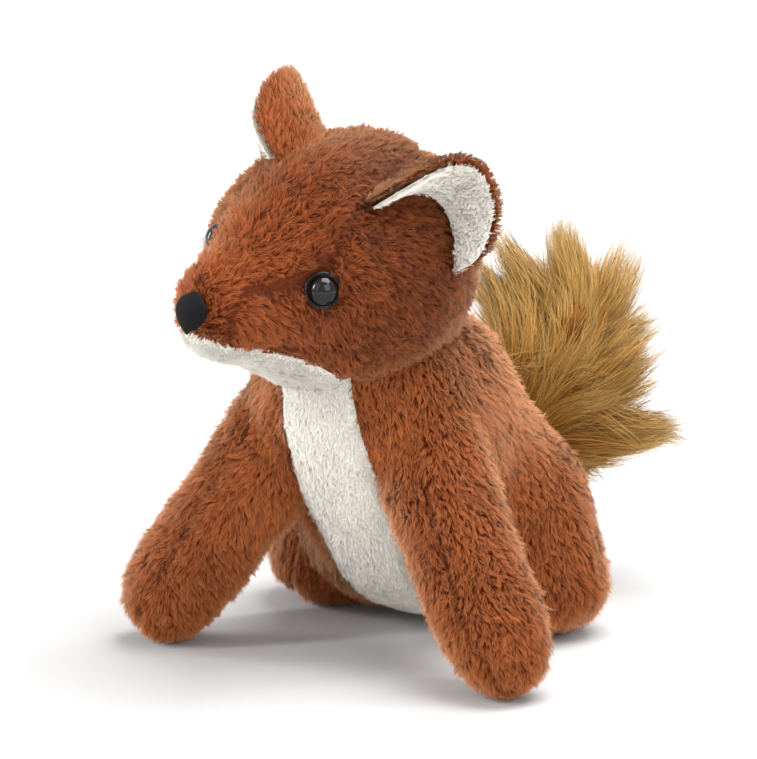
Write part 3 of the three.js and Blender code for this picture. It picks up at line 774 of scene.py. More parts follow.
def blades(name, rows, normal, tint, width, taper, material, rng, soft=0.6, spread=0.5):
    """One mesh of flat tapered blades: rows are the places along each, and the last is its tip."""
    count, steps = len(rows[0]), len(rows) - 1
    run = unit(rows[-1] - rows[0])
    flat = unit(np.cross(run, normal) + 1e-9)
    face = np.cross(flat, run)
    turn = rng.normal(0, spread, count)[:, None]
    side = flat * np.cos(turn) + face * np.sin(turn)
    facing = np.cross(run, side)
    facing *= np.sign(np.sum(facing * normal, axis=1))[:, None]
    shading = unit(normal * soft + facing * (1.1 - soft))
    verts = np.empty((count, 2 * steps + 1, 3))
    for k in range(steps):
        half = side * (width * taper[k] / 2)
        verts[:, 2 * k] = rows[k] - half
        verts[:, 2 * k + 1] = rows[k] + half
    verts[:, -1] = rows[-1]
    verts[:, :, 2] = np.maximum(verts[:, :, 2], 0.05 * MM)
    first = np.arange(count)[:, None] * (2 * steps + 1)
    quads = [first + np.array((2 * k, 2 * k + 1, 2 * k + 3, 2 * k + 2)) for k in range(steps - 1)]
    tips = first + np.array((2 * steps - 2, 2 * steps - 1, 2 * steps))
    flip = np.sum(np.cross(side, run) * normal, axis=1) < 0
    loops = np.concatenate([*quads, tips], axis=1)
    back = np.concatenate([*(quad[:, ::-1] for quad in quads), tips[:, ::-1]], axis=1)
    loops = np.where(flip[:, None], back, loops)
    sizes = np.tile([4] * (steps - 1) + [3], count)
    mesh = bpy.data.meshes.new(name)
    mesh.vertices.add(verts.shape[0] * verts.shape[1])
    mesh.vertices.foreach_set("co", verts.astype(np.float32).ravel())
    mesh.loops.add(loops.size)
    mesh.loops.foreach_set("vertex_index", loops.astype(np.int32).ravel())
    mesh.polygons.add(len(sizes))
    mesh.polygons.foreach_set("loop_start", np.concatenate([[0], np.cumsum(sizes)[:-1]]).astype(np.int32))
    mesh.polygons.foreach_set("loop_total", sizes.astype(np.int32))
    across = np.tile([-1.0, 1.0] * steps + [0.0], (count, 1)) / 48
    along = np.tile(np.append(np.repeat(np.arange(steps) / steps, 2), 1.0), (count, 1))
    place = np.stack([np.clip(tint, 0.03, 0.97)[:, None] + across, 0.02 + 0.96 * along], axis=2)
    corners = place.reshape(-1, 2)[loops.ravel()]
    mesh.uv_layers.new(name="OFBake").data.foreach_set("uv", corners.astype(np.float32).ravel())
    mesh.update()
    mesh.validate()
    mesh.shade_smooth()
    lean = np.repeat(shading[:, None], 2 * steps + 1, axis=1)
    mesh.normals_split_custom_set_from_vertices(lean.reshape(-1, 3).tolist())
    mesh.materials.append(material)
    return linked(name, mesh)


# Materials


def fill(node, sockets):
    """Gives a node's sockets what they take: another node's socket is joined, and a value is set."""
    for name, value in sockets.items():
        if isinstance(value, bpy.types.NodeSocket):
            node.id_data.links.new(value, node.inputs[name])
        else:
            node.inputs[name].default_value = value
    return node


def add(tree, kind, sockets=(), **choices):
    """A new shader node, with its choices made and its sockets filled."""
    node = tree.nodes.new(f"ShaderNode{kind}")
    for name, value in choices.items():
        setattr(node, name, value)
    return fill(node, dict(sockets))


def ranged(tree, source, low, high, to_low, to_high):
    sockets = dict(enumerate((source, low, high, to_low, to_high)))
    return add(tree, "MapRange", sockets).outputs[0]


def maths(tree, operation, a, b):
    return add(tree, "Math", {0: a, 1: b}, operation=operation).outputs[0]


def mixed(tree, factor, a, b):
    return add(tree, "Mix", {0: factor, 6: a, 7: b}, data_type="RGBA").outputs[2]


def textured(tree, kind, sockets, **choices):
    """A texture that lies on the object's own coordinates."""
    place = add(tree, "TexCoord").outputs["Object"]
    return add(tree, f"Tex{kind}", {"Vector": place, **sockets}, **choices).outputs


def bumped(tree, height, strength, distance):
    return add(tree, "Bump", {"Height": height, "Strength": strength, "Distance": distance}).outputs["Normal"]


def named_group(name, inputs, outputs):
    """A new node group with what it is given and the node that takes its results."""
    group = bpy.data.node_groups.new(name, "ShaderNodeTree")
    for label, kind, value in inputs:
        socket = group.interface.new_socket(label, in_out="INPUT", socket_type=f"NodeSocket{kind}")
        socket.default_value = value
    for label, kind in outputs:
        group.interface.new_socket(label, in_out="OUTPUT", socket_type=f"NodeSocket{kind}")
    return group, group.nodes.new("NodeGroupInput").outputs, group.nodes.new("NodeGroupOutput")


def pile_colour_group():
    """Colour of a strand: it goes from root to tip along the strand, darker at the root as painted shade deep
    in the pile and paler at the tip as painted light, and varies from strand to strand.
    """
    if "Pile colour" in bpy.data.node_groups:
        return bpy.data.node_groups["Pile colour"]
    colours = [(label, "Color", (0.5, 0.5, 0.5, 1)) for label in ("Root", "Middle", "Tip")]
    inputs = [("Strand", "Vector", (0, 0, 0)), *colours, ("Spread", "Float", 0.5)]
    group, given, result = named_group("Pile colour", inputs, [("Color", "Color")])
    strand = add(group, "SeparateXYZ", {0: given["Strand"]}).outputs
    lower = ranged(group, strand["Y"], 0.0, 0.5, 0, 1)
    upper = ranged(group, strand["Y"], 0.45, 1.0, 0, 1)
    low = mixed(group, lower, given["Root"], given["Middle"])
    high = mixed(group, upper, low, given["Tip"])
    vary = ranged(group, strand["X"], 0.0, 1.0, -0.5, 0.5)
    lift = maths(group, "ADD", maths(group, "MULTIPLY", vary, given["Spread"]), 1.0)
    fill(result, {"Color": add(group, "HueSaturation", {"Value": lift, "Color": high}).outputs["Color"]})
    return group


def knit_group():
    """The knitted backing of plush: its small loops as a height, and the fuzz over them as a mask."""
    if "Knit" in bpy.data.node_groups:
        return bpy.data.node_groups["Knit"]
    outputs = [("Mask", "Float"), ("Height", "Float")]
    group, given, result = named_group("Knit", [("Size", "Float", KNIT_SCALE)], outputs)
    loops = textured(group, "Voronoi", {"Scale": given["Size"]}, feature="F1")
    fuzz = textured(group, "Noise", {"Scale": 420, "Detail": 4})
    fill(result, {"Mask": fuzz["Fac"], "Height": loops["Distance"]})
    return group


def opened(name):
    material = bpy.data.materials.new(name)
    material.use_nodes = True
    return material, material.node_tree, material.node_tree.nodes["Principled BSDF"]


def pile_material(name, colours, spread, sheen, sheen_and_painted_rim_colour, rim):
    """Pile that goes from its root's to its tip's colour, and turns to the rim's colour where it is seen edge
    on, as a painted sheen.
    """
    if name in bpy.data.materials:
        return bpy.data.materials[name]
    material, tree, shader = opened(name)
    strand = add(tree, "UVMap", uv_map="OFBake").outputs[0]
    tones = {label: (*colour, 1) for label, colour in zip(("Root", "Middle", "Tip"), colours)}
    colour = add(tree, "Group", node_tree=pile_colour_group())
    fill(colour, {"Strand": strand, "Spread": spread, **tones})
    surface = add(tree, "NewGeometry").outputs
    side = ranged(tree, surface["Backfacing"], 0, 1, 1, -1)
    outward = add(tree, "VectorMath", operation="SCALE")
    fill(outward, {0: surface["Normal"], "Scale": side})
    facing = add(tree, "LayerWeight", {"Blend": 0.5}).outputs["Facing"]
    # Painted sheen: the pile's colour turns to the rim's where the pile is seen edge on
    painted_sheen = ranged(tree, facing, 0.3, 0.95, 0, rim)
    fill(shader, {
        "Base Color": mixed(tree, painted_sheen, colour.outputs["Color"], (*sheen_and_painted_rim_colour, 1)),
        "Normal": outward.outputs[0],
        "Roughness": 0.55,
        "Specular IOR Level": 0.12,
        "Sheen Weight": sheen,
        "Sheen Roughness": 0.3,
        "Sheen Tint": (*sheen_and_painted_rim_colour, 1),
    })
    return material


def backing_material(name, dark, light):
    """The knitted cloth that pile grows from."""
    if name in bpy.data.materials:
        return bpy.data.materials[name]
    material, tree, shader = opened(name)
    knit = add(tree, "Group", node_tree=knit_group())
    fill(knit, {"Size": KNIT_SCALE})
    fill(shader, {
        "Base Color": mixed(tree, knit.outputs["Mask"], (*dark, 1), (*light, 1)),
        "Normal": bumped(tree, knit.outputs["Height"], 0.3, 0.0002),
        "Roughness": 0.9,
        "Specular IOR Level": 0.15,
    })
    return material


def bead_material():
    """Glossy black moulding with a little dust."""
    material, tree, shader = opened("Black bead")
    dust = textured(tree, "Noise", {"Scale": 900, "Detail": 6})["Fac"]
    fill(shader, {
        "Base Color": ranged(tree, dust, 0.3, 0.8, 0.002, 0.004),
        "Roughness": ranged(tree, dust, 0.35, 0.75, 0.04, 0.09),
        "Specular IOR Level": 0.35,
    })
    return material


def thread_material():
    """Black thread whose twist shows as fine ridges."""
    material, tree, shader = opened("Black stitching")
    twist = textured(tree, "Wave", {"Scale": 900, "Distortion": 1.5}, bands_direction="Z")["Fac"]
    fill(shader, {
        "Base Color": ranged(tree, twist, 0, 1, 0.003, 0.008),
        "Normal": bumped(tree, twist, 0.35, 0.00005),
        "Roughness": 0.6,
        "Specular IOR Level": 0.1,
    })
    return material


def fibre_material():
    """Loose white polyester fibre."""
    material, tree, shader = opened("Loose fibre")
    wisps = textured(tree, "Noise", {"Scale": 320, "Detail": 8, "Distortion": 2.5})["Fac"]
    fill(shader, {
        "Base Color": mixed(tree, wisps, (0.62, 0.62, 0.6, 1), (0.86, 0.86, 0.84, 1)),
        "Normal": bumped(tree, wisps, 0.7, 0.0006),
        "Roughness": 1.0,
    })
    return material


def washer_material():
    """Pale moulded plastic with a fine grain."""
    material, tree, shader = opened("Clear moulded plastic")
    grain = textured(tree, "Noise", {"Scale": 700})["Fac"]
    fill(shader, {
        "Base Color": ranged(tree, grain, 0.3, 0.7, 0.62, 0.72),
        "Roughness": ranged(tree, grain, 0.3, 0.7, 0.3, 0.45),
    })
    return material


# Finishes by name, from the colours in the panel


def chosen_colours(kind, *places):
    """The colours chosen for a kind of pile, such as its root's and its tip's."""
    colours = bpy.context.scene.plush_fox_colours
    return [np.array(getattr(colours, f"{kind}_{place}")) for place in places]


def rust_pile():
    return pile_material("Brown pile", chosen_colours("rust", "root", "middle", "tip"), **RUST_LIGHT)


# A darker copy of the brown pile for the head: painted shade
def head_pile_painted_shade():
    browns = [colour * HEAD_PAINTED_SHADE for colour in chosen_colours("rust", "root", "middle", "tip")]
    return pile_material("Head pile", browns, **HEAD_LIGHT)


# A tone below 1 gives a darker copy of the cream, which the chin's painted shade uses
def cream_pile(tone=1.0):
    root, tip = (colour * tone for colour in chosen_colours("cream", "root", "tip"))
    return pile_material(f"Cream pile {tone}", (root, (root + tip) / 2, tip), **CREAM_LIGHT)


# A paler copy of the cream pile for the ear linings: painted light
def lining_pile_painted_light():
    (cream,) = chosen_colours("cream", "tip")
    pale = np.minimum(cream * 1.22, 1)
    return pile_material("Lining pile", (cream, pale, pale), **LINING_LIGHT)


def gold_pile():
    return pile_material("Golden pile", chosen_colours("gold", "root", "middle", "tip"), **GOLD_LIGHT)


# The brown and golden backings take their pile's root colour, which holds painted shade deep in the pile
def rust_backing():
    (brown,) = chosen_colours("rust", "root")
    return backing_material("Brown backing", brown * 0.8, brown * 1.2)


def cream_backing():
    return backing_material("Cream backing", *chosen_colours("cream", "root", "tip"))


# A paler cream backing for the ear linings: painted light
def lining_backing_painted_light():
    (cream,) = chosen_colours("cream", "tip")
    return backing_material("Lining backing", cream, np.minimum(cream * 1.2, 1))


def gold_backing():
    (gold,) = chosen_colours("gold", "root")
    return backing_material("Golden backing", gold * 0.6, gold)


# The skins, which several pieces share, and the piles on them

SKINS = {}


def widen_chin(near, tips):
    """Runs the cream chin on along the jaw to a point under the cheek."""
    _, y, z = in_head(tips).T
    below = z - np.interp(y, *JAW_LINE)
    chin = HEAD_PANELS.index("chin_panel")
    here = (y > JAW_LINE[0][0]) & (y < JAW_LINE[0][-1])
    near[here, chin] = np.minimum(near[here, chin], near.min(axis=1)[here] + below[here] * MM)


def head_skin():
    if "head" not in SKINS:
        depths = [RUST_DEPTH, RUST_DEPTH, RUST_DEPTH, CREAM_DEPTH]
        SKINS["head"] = Skin(HEAD, HEAD_PANELS, GRIDS["head"], depths, bare=HEAD_BARE, widen=widen_chin)
    return SKINS["head"]


def head_surface():
    """The head as it is with its pile."""
    if "head_surface" not in SKINS:
        skin = head_skin()
        bm = skin.bm.copy()
        set_places(bm, skin.tips + skin.normals * 0.1 * MM)
        SKINS["head_surface"] = SimpleNamespace(bm=bm, tree=BVHTree.FromBMesh(bm))
    return SKINS["head_surface"]


def body_skins():
    """The torso and the legs: their cloth swells a little where they meet, so that they flow together."""
    if "torso" not in SKINS:
        torso = Skin(TORSO, TORSO_PANELS, GRIDS["torso"], [RUST_DEPTH, RUST_DEPTH, CREAM_DEPTH])
        legs = {}
        for kind in LEGS:
            for side in SIDES:
                name = f"{kind}_{side}"
                panels = [f"{name}_outer_panel", f"{name}_inner_panel"]
                depths = [RUST_DEPTH, RUST_DEPTH]
                legs[name] = Skin(leg_form(kind, side), panels, GRIDS["leg"], depths, groove=LEG_GROOVE)
        moves = [leg.fillet([torso], FILLET) for leg in legs.values()]
        pale = torso.near[:, TORSO_PANELS.index("belly_panel")]
        torso.cloth += torso.fillet(legs.values(), FILLET) * np.clip(pale / (3 * MM), 0, 1)[:, None]
        for leg, move in zip(legs.values(), moves):
            leg.cloth += move
        for skin in (torso, *legs.values()):
            skin.settle()
        torso.keep_clear_of(head_skin(), *legs.values())
        for leg in legs.values():
            leg.keep_clear_of(torso, head_skin())
        SKINS.update(torso=torso, **legs)
    return SKINS


def ear_skins(side):
    """An ear's leaf and the pad of its lining. No brown pile grows under the pad, and no cream behind it."""
    ear, face = EARS[side], ear_axes(side)[2]
    leaf, thin_leaf, pad, thin_pad = (
        ear_form(side, ear["width"] - narrower, height, thickness, forward, ear["back"])
        for narrower, height, thickness, forward in EAR_LAYERS
    )
    skin = Skin(leaf, [f"ear_outer_{side}"], GRIDS["ear"], inner=thin_leaf)
    lining = Skin(pad, [f"ear_lining_{side}"], GRIDS["lining"], inner=thin_pad)
    skin.keep_clear_of(head_skin())
    skin.cover[(outside(skin.cloth, lining.tree) < 0.6 * MM) & (skin.normals @ face > 0.5)] = -1
    lining.keep_clear_of(head_surface())
    lining.cover[lining.normals @ face < -0.1] = -1
    return skin, lining


def muzzle_shade(points):
    """How much lighter the head's pile is than plain brown: painted light at the muzzle's tip and painted
    shade behind.
    """
    return np.interp(in_head(points)[:, 1], *MUZZLE_SHADES)


def rust_panel(skin, panel, seed, material, length=1.0, **look):
    pile = bpy.context.scene.plush_fox_pile
    look = {**RUST_LOOK, "shade": RUST_SHADE, **look}
    piece = pile_piece(skin, panel, pile.rust_length * length, pile.per_mm2, material, seed, **look)
    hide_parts(panel)
    return piece


def cream_panel(skin, panel, seed, material, length, closer, **look):
    pile = bpy.context.scene.plush_fox_pile
    piece = pile_piece(skin, panel, length, pile.per_mm2 * closer, material, seed, **CREAM_LOOK, **look)
    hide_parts(panel)
    return piece


# The operators, one for each piece or group of like pieces


class PLUSHFOX_OT_head_skin(bpy.types.Operator):
    """Sews the head's cloth and lays the pile of its four panels"""

    bl_idname = "plush_fox.head_skin"
    bl_label = "Head skin"

    def execute(self, context):
        pile = context.scene.plush_fox_pile
        skin = head_skin()
        cloth = cloth_piece("head_cloth", skin, rust_backing(), cream_backing())
        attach(cloth, "head")
        look = {**HEAD_LOOK, "clump": pile.clump, "shade": muzzle_shade, "seam": HEAD_SEAM_DEPTH}
        for k, panel in enumerate(HEAD_PANELS):
            if panel == "chin_panel":
                piece = cream_panel(skin, panel, SEEDS["chin"], cream_pile(CHIN_PAINTED_SHADE), pile.cream_length,
                                    CREAM_CLOSER, shade=CHIN_SHADE)
            else:
                piece = rust_panel(skin, panel, SEEDS["head"] + 10 * k, head_pile_painted_shade(), **look)
            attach(piece, "head")
        return {"FINISHED"}


class PLUSHFOX_OT_torso_skin(bpy.types.Operator):
    """Sews the torso's cloth and lays the pile of its back and belly"""

    bl_idname = "plush_fox.torso_skin"
    bl_label = "Torso skin"

    def execute(self, context):
        pile = context.scene.plush_fox_pile
        skin = body_skins()["torso"]
        cloth = cloth_piece("torso_cloth", skin, rust_backing(), cream_backing(), cut_by=[head_skin()])
        pieces = [cloth]
        for k, panel in enumerate(TORSO_PANELS):
            if panel == "belly_panel":
                piece = cream_panel(skin, panel, SEEDS["belly"], cream_pile(), pile.cream_length,
                                    CREAM_CLOSER, shade=BELLY_SHADE)
            else:
                piece = rust_panel(skin, panel, SEEDS["torso"] + 10 * k, rust_pile(), seam=BACK_SEAM)
            pieces.append(piece)
        for piece in pieces:
            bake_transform(piece)
        return {"FINISHED"}


class PLUSHFOX_OT_leg_skins(bpy.types.Operator):
    """Sews the four legs and lays the pile of their panels"""

    bl_idname = "plush_fox.leg_skins"
    bl_label = "Leg skins"

    def execute(self, context):
        seed = SEEDS["legs"]
        for kind in LEGS:
            for side in SIDES:
                name = f"{kind}_{side}"
                skin = body_skins()[name]
                cloth = cloth_piece(f"{name}_cloth", skin, rust_backing(), cut_by=[body_skins()["torso"]])
                pieces = [cloth]
                for panel in skin.panels:
                    pieces.append(rust_panel(skin, panel, seed, rust_pile(), seam=LEG_SEAM_DEPTH))
                    seed += 10
                paw = Vector(LEGS[kind]["paw"]) * MM
                paw.x *= 1 if side == "left" else -1
                for piece in pieces:
                    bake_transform(piece)
        return {"FINISHED"}


class PLUSHFOX_OT_ears(bpy.types.Operator):
    """Sews the two ears with their cream linings"""

    bl_idname = "plush_fox.ears"
    bl_label = "Ears"

    def execute(self, context):
        pile = context.scene.plush_fox_pile
        for k, side in enumerate(SIDES):
            outer, lining = f"ear_outer_{side}", f"ear_lining_{side}"
            skin, pad = ear_skins(side)
            seat, rise, face = ear_axes(side)
            cloth = cloth_piece(f"ear_{side}_cloth", skin, rust_backing(), cut_by=[head_skin()])
            brown = rust_panel(skin, outer, SEEDS["ears"] + 30 * k, rust_pile(), length=EAR_PILE)
            inside = cloth_piece(f"ear_{side}_lining_cloth", pad, lining_backing_painted_light(), cut_by=[head_surface()])
            white = cream_panel(pad, lining, SEEDS["linings"] + 30 * k, lining_pile_painted_light(), pile.lining_length,
                                LINING_CLOSER, shade=LINING_PAINTED_LIGHT, catch=face + (0, 0, 0.35))
            for piece in (cloth, brown, inside, white):
                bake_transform(piece)
        return {"FINISHED"}


class PLUSHFOX_OT_tail(bpy.types.Operator):
    """Makes the tail's core and its brush of long golden strands"""

    bl_idname = "plush_fox.tail"
    bl_label = "Tail brush"

    def execute(self, context):
        pile = context.scene.plush_fox_pile
        core = Skin(tail_form(), ["tail_core"], GRIDS["core"], [0.0])
        torso = body_skins()["torso"]
        cloth = cloth_piece("tail_core_cloth", core, gold_backing(), cut_by=[torso])
        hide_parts("tail_core")
        brushes = [
            brush_piece("tail_locks", outer_locks(), pile.tail_strands, 5, torso, 7),
            brush_piece("tail_loose_locks", outer_locks(), pile.tail_strands, 4, torso, 9),
            brush_piece("tail_underfur", inner_locks(), pile.tail_strands * 3 // 4, 4, torso, 8),
        ]
        for piece in brushes:
            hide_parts("tail_brush")
        for piece in (cloth, *brushes):
            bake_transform(piece)
        return {"FINISHED"}


def lock(tip, root_share, radius):
    """The middle line of one tuft, from the tail's core out to its tip, and how wide the tuft is."""
    line = Line(tail_form()["spine"])
    root, ahead = (way(np.array([root_share]))[0] for way in (line.along, line.ahead))
    tip = np.array(tip, float)
    out = tip - root
    bend = root + 0.45 * out + 0.16 * np.linalg.norm(out) * ahead
    return root, bend, tip, radius


def outer_locks():
    """The tufts that are seen: each grows from a place on the core below the one nearest to its tip."""
    shares = np.linspace(0, 1, 60)
    places = Line(tail_form()["spine"]).along(shares)
    locks = []
    for tip, share in TUFTS:
        nearest = shares[np.argmin(np.linalg.norm(places - tip, axis=1))]
        locks.append((*lock(tip, max(0.04, nearest - 0.5), TUFT_RADIUS * share), share))
    return locks


def inner_locks():
    """Shorter tufts that fill the brush between the core and the outer ones."""
    rng = np.random.default_rng(21)
    spine = Line(tail_form()["spine"])
    locks = []
    for tip, share in TUFTS * 3:
        ahead = rng.uniform(0.2, 1)
        place = spine.along(np.array([ahead]))[0]
        tip = place + (np.array(tip) - place) * rng.uniform(0.5, 0.85) + rng.normal(0, 3.5, 3)
        locks.append((*lock(tip, max(0.03, ahead - 0.25), INNER_RADIUS), share))
    return locks


def brush_piece(name, locks, count, steps, torso, seed):
    """Long strands in tufts: each one follows its tuft's middle line and closes in on its tip."""
    pile = bpy.context.scene.plush_fox_pile
    rng = np.random.default_rng(seed)
    count //= 1
    roots, bends, tips, radii, weights = (np.array(column) for column in zip(*locks))
    own = rng.choice(len(locks), count, p=weights / weights.sum())
    root, bend, tip, radius = roots[own], bends[own], tips[own], radii[own]
    ahead = unit(tip - root)
    side = unit(np.cross(ahead, (0.3, 0.2, 1)))
    rise = np.cross(side, ahead)
    turn, spread = rng.uniform(0, 2 * np.pi, count), np.sqrt(rng.random(count)) * radius
    offset = side * (spread * np.cos(turn))[:, None] + rise * (spread * np.sin(turn))[:, None]
    stray = np.where(rng.random(count) < STRAYS, 1.0, 0.0)
    drift = rng.normal(0, DRIFT, (count, 3))
    wisp = rng.integers(0, WISPS, count)
    wisp_way = rng.normal(0, WISP_SPREAD, (len(locks), WISPS, 3))[own, wisp] * radius[:, None]
    wisp_reach = rng.uniform(0.8, 1.08, (len(locks), WISPS))[own, wisp]
    begin = rng.uniform(0, 0.5, count) ** 1.3
    end = (1.02 - 0.34 * rng.random(count) ** 1.5 + 0.08 * stray) * wisp_reach
    rows = []
    for k in range(steps + 1):
        s = begin + (end - begin) * k / steps
        t = s[:, None]
        middle = root * (1 - t) ** 2 + bend * 2 * t * (1 - t) + tip * t**2
        narrow = (0.5 + 0.7 * s) * np.maximum(1 - s / wisp_reach, 0) ** 0.7 + 0.1
        place = middle + wisp_way * t**1.2 + offset * (narrow * (1 + 0.8 * stray * s))[:, None]
        sway = ripple(place, SWAY[0], 41) * SWAY[1] * t
        parting = ripple(place + wisp[:, None] * 31, WANDER[0], seed + 11) * WANDER[1] * t
        frizz = ripple(place, FRIZZ[0], seed + 12) * FRIZZ[1] * t
        rows.append((place + (sway + parting + drift * t**2) + frizz) * MM)
    keep = (outside(rows[steps // 2], torso.tree) > -0.5 * MM) & (outside(rows[-1], torso.tree) > 0)
    rows = [row[keep] for row in rows]
    core = np.mean(Line(tail_form()["spine"]).along(np.linspace(0.2, 0.9, 9)), axis=0) * MM
    normal = unit(unit(rows[steps // 2] - core) * 0.8 + unit(offset[keep]) * 0.6)
    tone = 0.5 + (0.12 * rng.normal(0, 1, len(locks))[own] + rng.normal(0, 0.12, count))[keep]
    taper = np.linspace(1, 0.45, steps)
    return blades(name, rows, normal, tone, pile.tail_strand_width, taper, gold_pile(), rng)


class PLUSHFOX_OT_bead_eyes(bpy.types.Operator):
    """Turns the two glossy eyes with their rims and stems"""

    bl_idname = "plush_fox.bead_eyes"
    bl_label = "Bead eyes"

    def execute(self, context):
        material = bead_material()
        for side in SIDES:
            piece = linked(f"bead_eye_{side}", bead_mesh(f"bead_eye_{side}", f"eye_{side}"))
            piece.data.materials.append(material)
            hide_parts(f"eye_{side}")
            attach(piece, "head")
        return {"FINISHED"}


def bead_mesh(name, node):
    """A bead eye on the axis of its node: the line that its corners lie evenly round."""
    corners = np.unique(np.round([v.co for v in frame["nodes"][node].data.vertices], 6), axis=0)
    middle = corners.mean(axis=0)
    values, vectors = np.linalg.eigh(np.cov((corners - middle).T))
    odd = np.argmax(np.abs(values - np.median(values)))
    axis = Vector(vectors[:, odd])
    if axis.dot(Vector(middle) - HEAD_PLACE) < 0:
        axis.negate()
    top = max((corners - middle) @ np.array(axis))
    seat = Vector(middle) + axis * (top - EYE_SINK[node] * MM)
    bm = bmesh.new()
    verts = [bm.verts.new((r * MM, 0, h * MM)) for r, h in (*EYE_STEM, *EYE_RIM, *EYE_DOME)]
    edges = [bm.edges.new(pair) for pair in zip(verts, verts[1:])]
    around = {"axis": (0, 0, 1), "cent": (0, 0, 0), "steps": 56, "angle": 2 * math.pi, "use_merge": True}
    bmesh.ops.spin(bm, geom=verts + edges, **around)
    bmesh.ops.remove_doubles(bm, verts=bm.verts, dist=1e-6)
    bmesh.ops.recalc_face_normals(bm, faces=bm.faces)
    pose = Matrix.Translation(seat) @ axis.to_track_quat("Z", "Y").to_matrix().to_4x4()
    bmesh.ops.transform(bm, matrix=pose, verts=bm.verts)
    mesh = mesh_of(name, bm)
    bm.free()
    mesh.shade_smooth()
    return mesh


class PLUSHFOX_OT_nose(bpy.types.Operator):
    """Stitches the nose: a padded patch under rows of black thread"""

    bl_idname = "plush_fox.nose"
    bl_label = "Stitched nose"

    def execute(self, context):
        curve = bpy.data.curves.new("nose_threads", "CURVE")
        curve.dimensions = "3D"
        curve.bevel_depth = THREAD_RADIUS * MM
        curve.bevel_resolution = 2
        curve.use_fill_caps = True
        for path in thread_paths():
            spline = curve.splines.new("POLY")
            spline.points.add(len(path) - 1)
            for point, place in zip(spline.points, path):
                point.co = (*place, 1)
        threads = linked("nose_threads", curve)
        mesh = evaluated(threads)
        bpy.data.objects.remove(threads)
        piece = linked("nose_stitches", mesh)
        mesh.shade_smooth()
        mesh.materials.append(thread_material())
        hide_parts("nose_embroidery")
        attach(piece, "head")
        return {"FINISHED"}


def thread_paths():
    """The rows of satin stitch: each runs from the nose's top edge, over the padding, to its lower point."""
    skin = head_skin()
    tree = BVHTree.FromPolygons([Vector(place) for place in skin.tips], skin.tris.tolist())
    ahead = HEAD_POSE.to_3x3() @ Vector((0, -1, 0))
    paths = []
    for layer, count in enumerate(STITCHES):
        for share in np.linspace(-1, 1, count):
            top, low = NOSE_TOP - NOSE_TOP_CURVE * share**2, NOSE_LOW + NOSE_LOW_CURVE * abs(share)
            path = []
            for t in np.linspace(0, 1, STITCH_STEPS):
                half = NOSE_HALF_WIDTH * np.interp(t, *NOSE_WIDTHS)
                z = top + (low - top) * t
                start = HEAD_POSE @ Vector(((half * share + NOSE_ASIDE) * MM, -0.02, z * MM))
                place, normal, _, _ = tree.ray_cast(start, ahead)
                if place is None:
                    continue
                swell = math.sqrt(max(0, 1 - 0.85 * share**2)) * math.sin(math.pi * t) ** 0.6
                path.append(place + normal * (THREAD_LIFT + LAYER_LIFT * layer + PADDING * swell) * MM)
            paths.append(path)
    return paths


class PLUSHFOX_OT_inner_parts(bpy.types.Operator):
    """Gives the stuffing and the eye washers their finishes"""

    bl_idname = "plush_fox.inner_parts"
    bl_label = "Inner parts"

    def execute(self, context):
        fibre, plastic = fibre_material(), washer_material()
        for name, node in frame["nodes"].items():
            node.data.materials.clear()
            node.data.materials.append(plastic if "washer" in name else fibre)
        return {"FINISHED"}


class PLUSHFOX_OT_stage(bpy.types.Operator):
    """Sets the floor, the lights, the room and the camera"""

    bl_idname = "plush_fox.stage"
    bl_label = "Stage"

    def execute(self, context):
        stage = context.scene.plush_fox_stage
        bm = bmesh.new()
        bmesh.ops.create_grid(bm, x_segments=1, y_segments=1, size=FLOOR_SIZE)
        bmesh.ops.translate(bm, verts=bm.verts, vec=(0, 0, -FLOOR_DROP))
        mesh = mesh_of("floor", bm)
        bm.free()
        floor = linked("floor", mesh)
        mesh.materials.append(floor_material())
        room(stage.ambient)
        for lights, power in ((TOP_LIGHTS, stage.key), (SIDE_LIGHTS, stage.fill)):
            for name, (place, size, share) in lights.items():
                area_light(name, Vector(place), size, power * share)
        camera()
        return {"FINISHED"}


def seen_directly(tree):
    """1 where the camera, a reflection or glass looks, and 0 where the surface only lights other things."""
    path = add(tree, "LightPath").outputs
    seen = maths(tree, "MAXIMUM", path["Is Camera Ray"], path["Is Glossy Ray"])
    return maths(tree, "MAXIMUM", seen, path["Is Transmission Ray"])


def floor_material():
    """A white floor that turns into the white room as it runs away from the fox."""
    material, tree, shader = opened("White floor")
    seen = seen_directly(tree)
    place = add(tree, "TexCoord").outputs["Object"]
    away = add(tree, "VectorMath", {0: place}, operation="LENGTH").outputs["Value"]
    fill(shader, {
        "Base Color": ranged(tree, seen, 0, 1, LIT_FLOOR, SEEN_FLOOR),
        "Emission Color": (1, 1, 1, 1),
        "Emission Strength": maths(tree, "MULTIPLY", seen, ranged(tree, away, 0.1, 0.7, 0.01, 1)),
        "Roughness": 0.9,
        "Specular IOR Level": 0.1,
    })
    return material


def room(ambient):
    """A room that is white where it is seen, and lights the fox with the strength of ambient."""
    world = bpy.data.worlds.new("White room")
    bpy.context.scene.world = world
    world.use_nodes = True
    tree = world.node_tree
    strength = ranged(tree, seen_directly(tree), 0, 1, ambient, 1)
    fill(tree.nodes["Background"], {"Color": (1, 1, 1, 1), "Strength": strength})


def area_light(name, place, size, power):
    light = bpy.data.lights.new(name, "AREA")
    light.shape = "RECTANGLE"
    light.size, light.size_y = size
    light.energy = power
    lamp = linked(name, light)
    lamp.location = place
    lamp.rotation_euler = (LIGHT_TARGET - place).to_track_quat("-Z", "Y").to_euler()


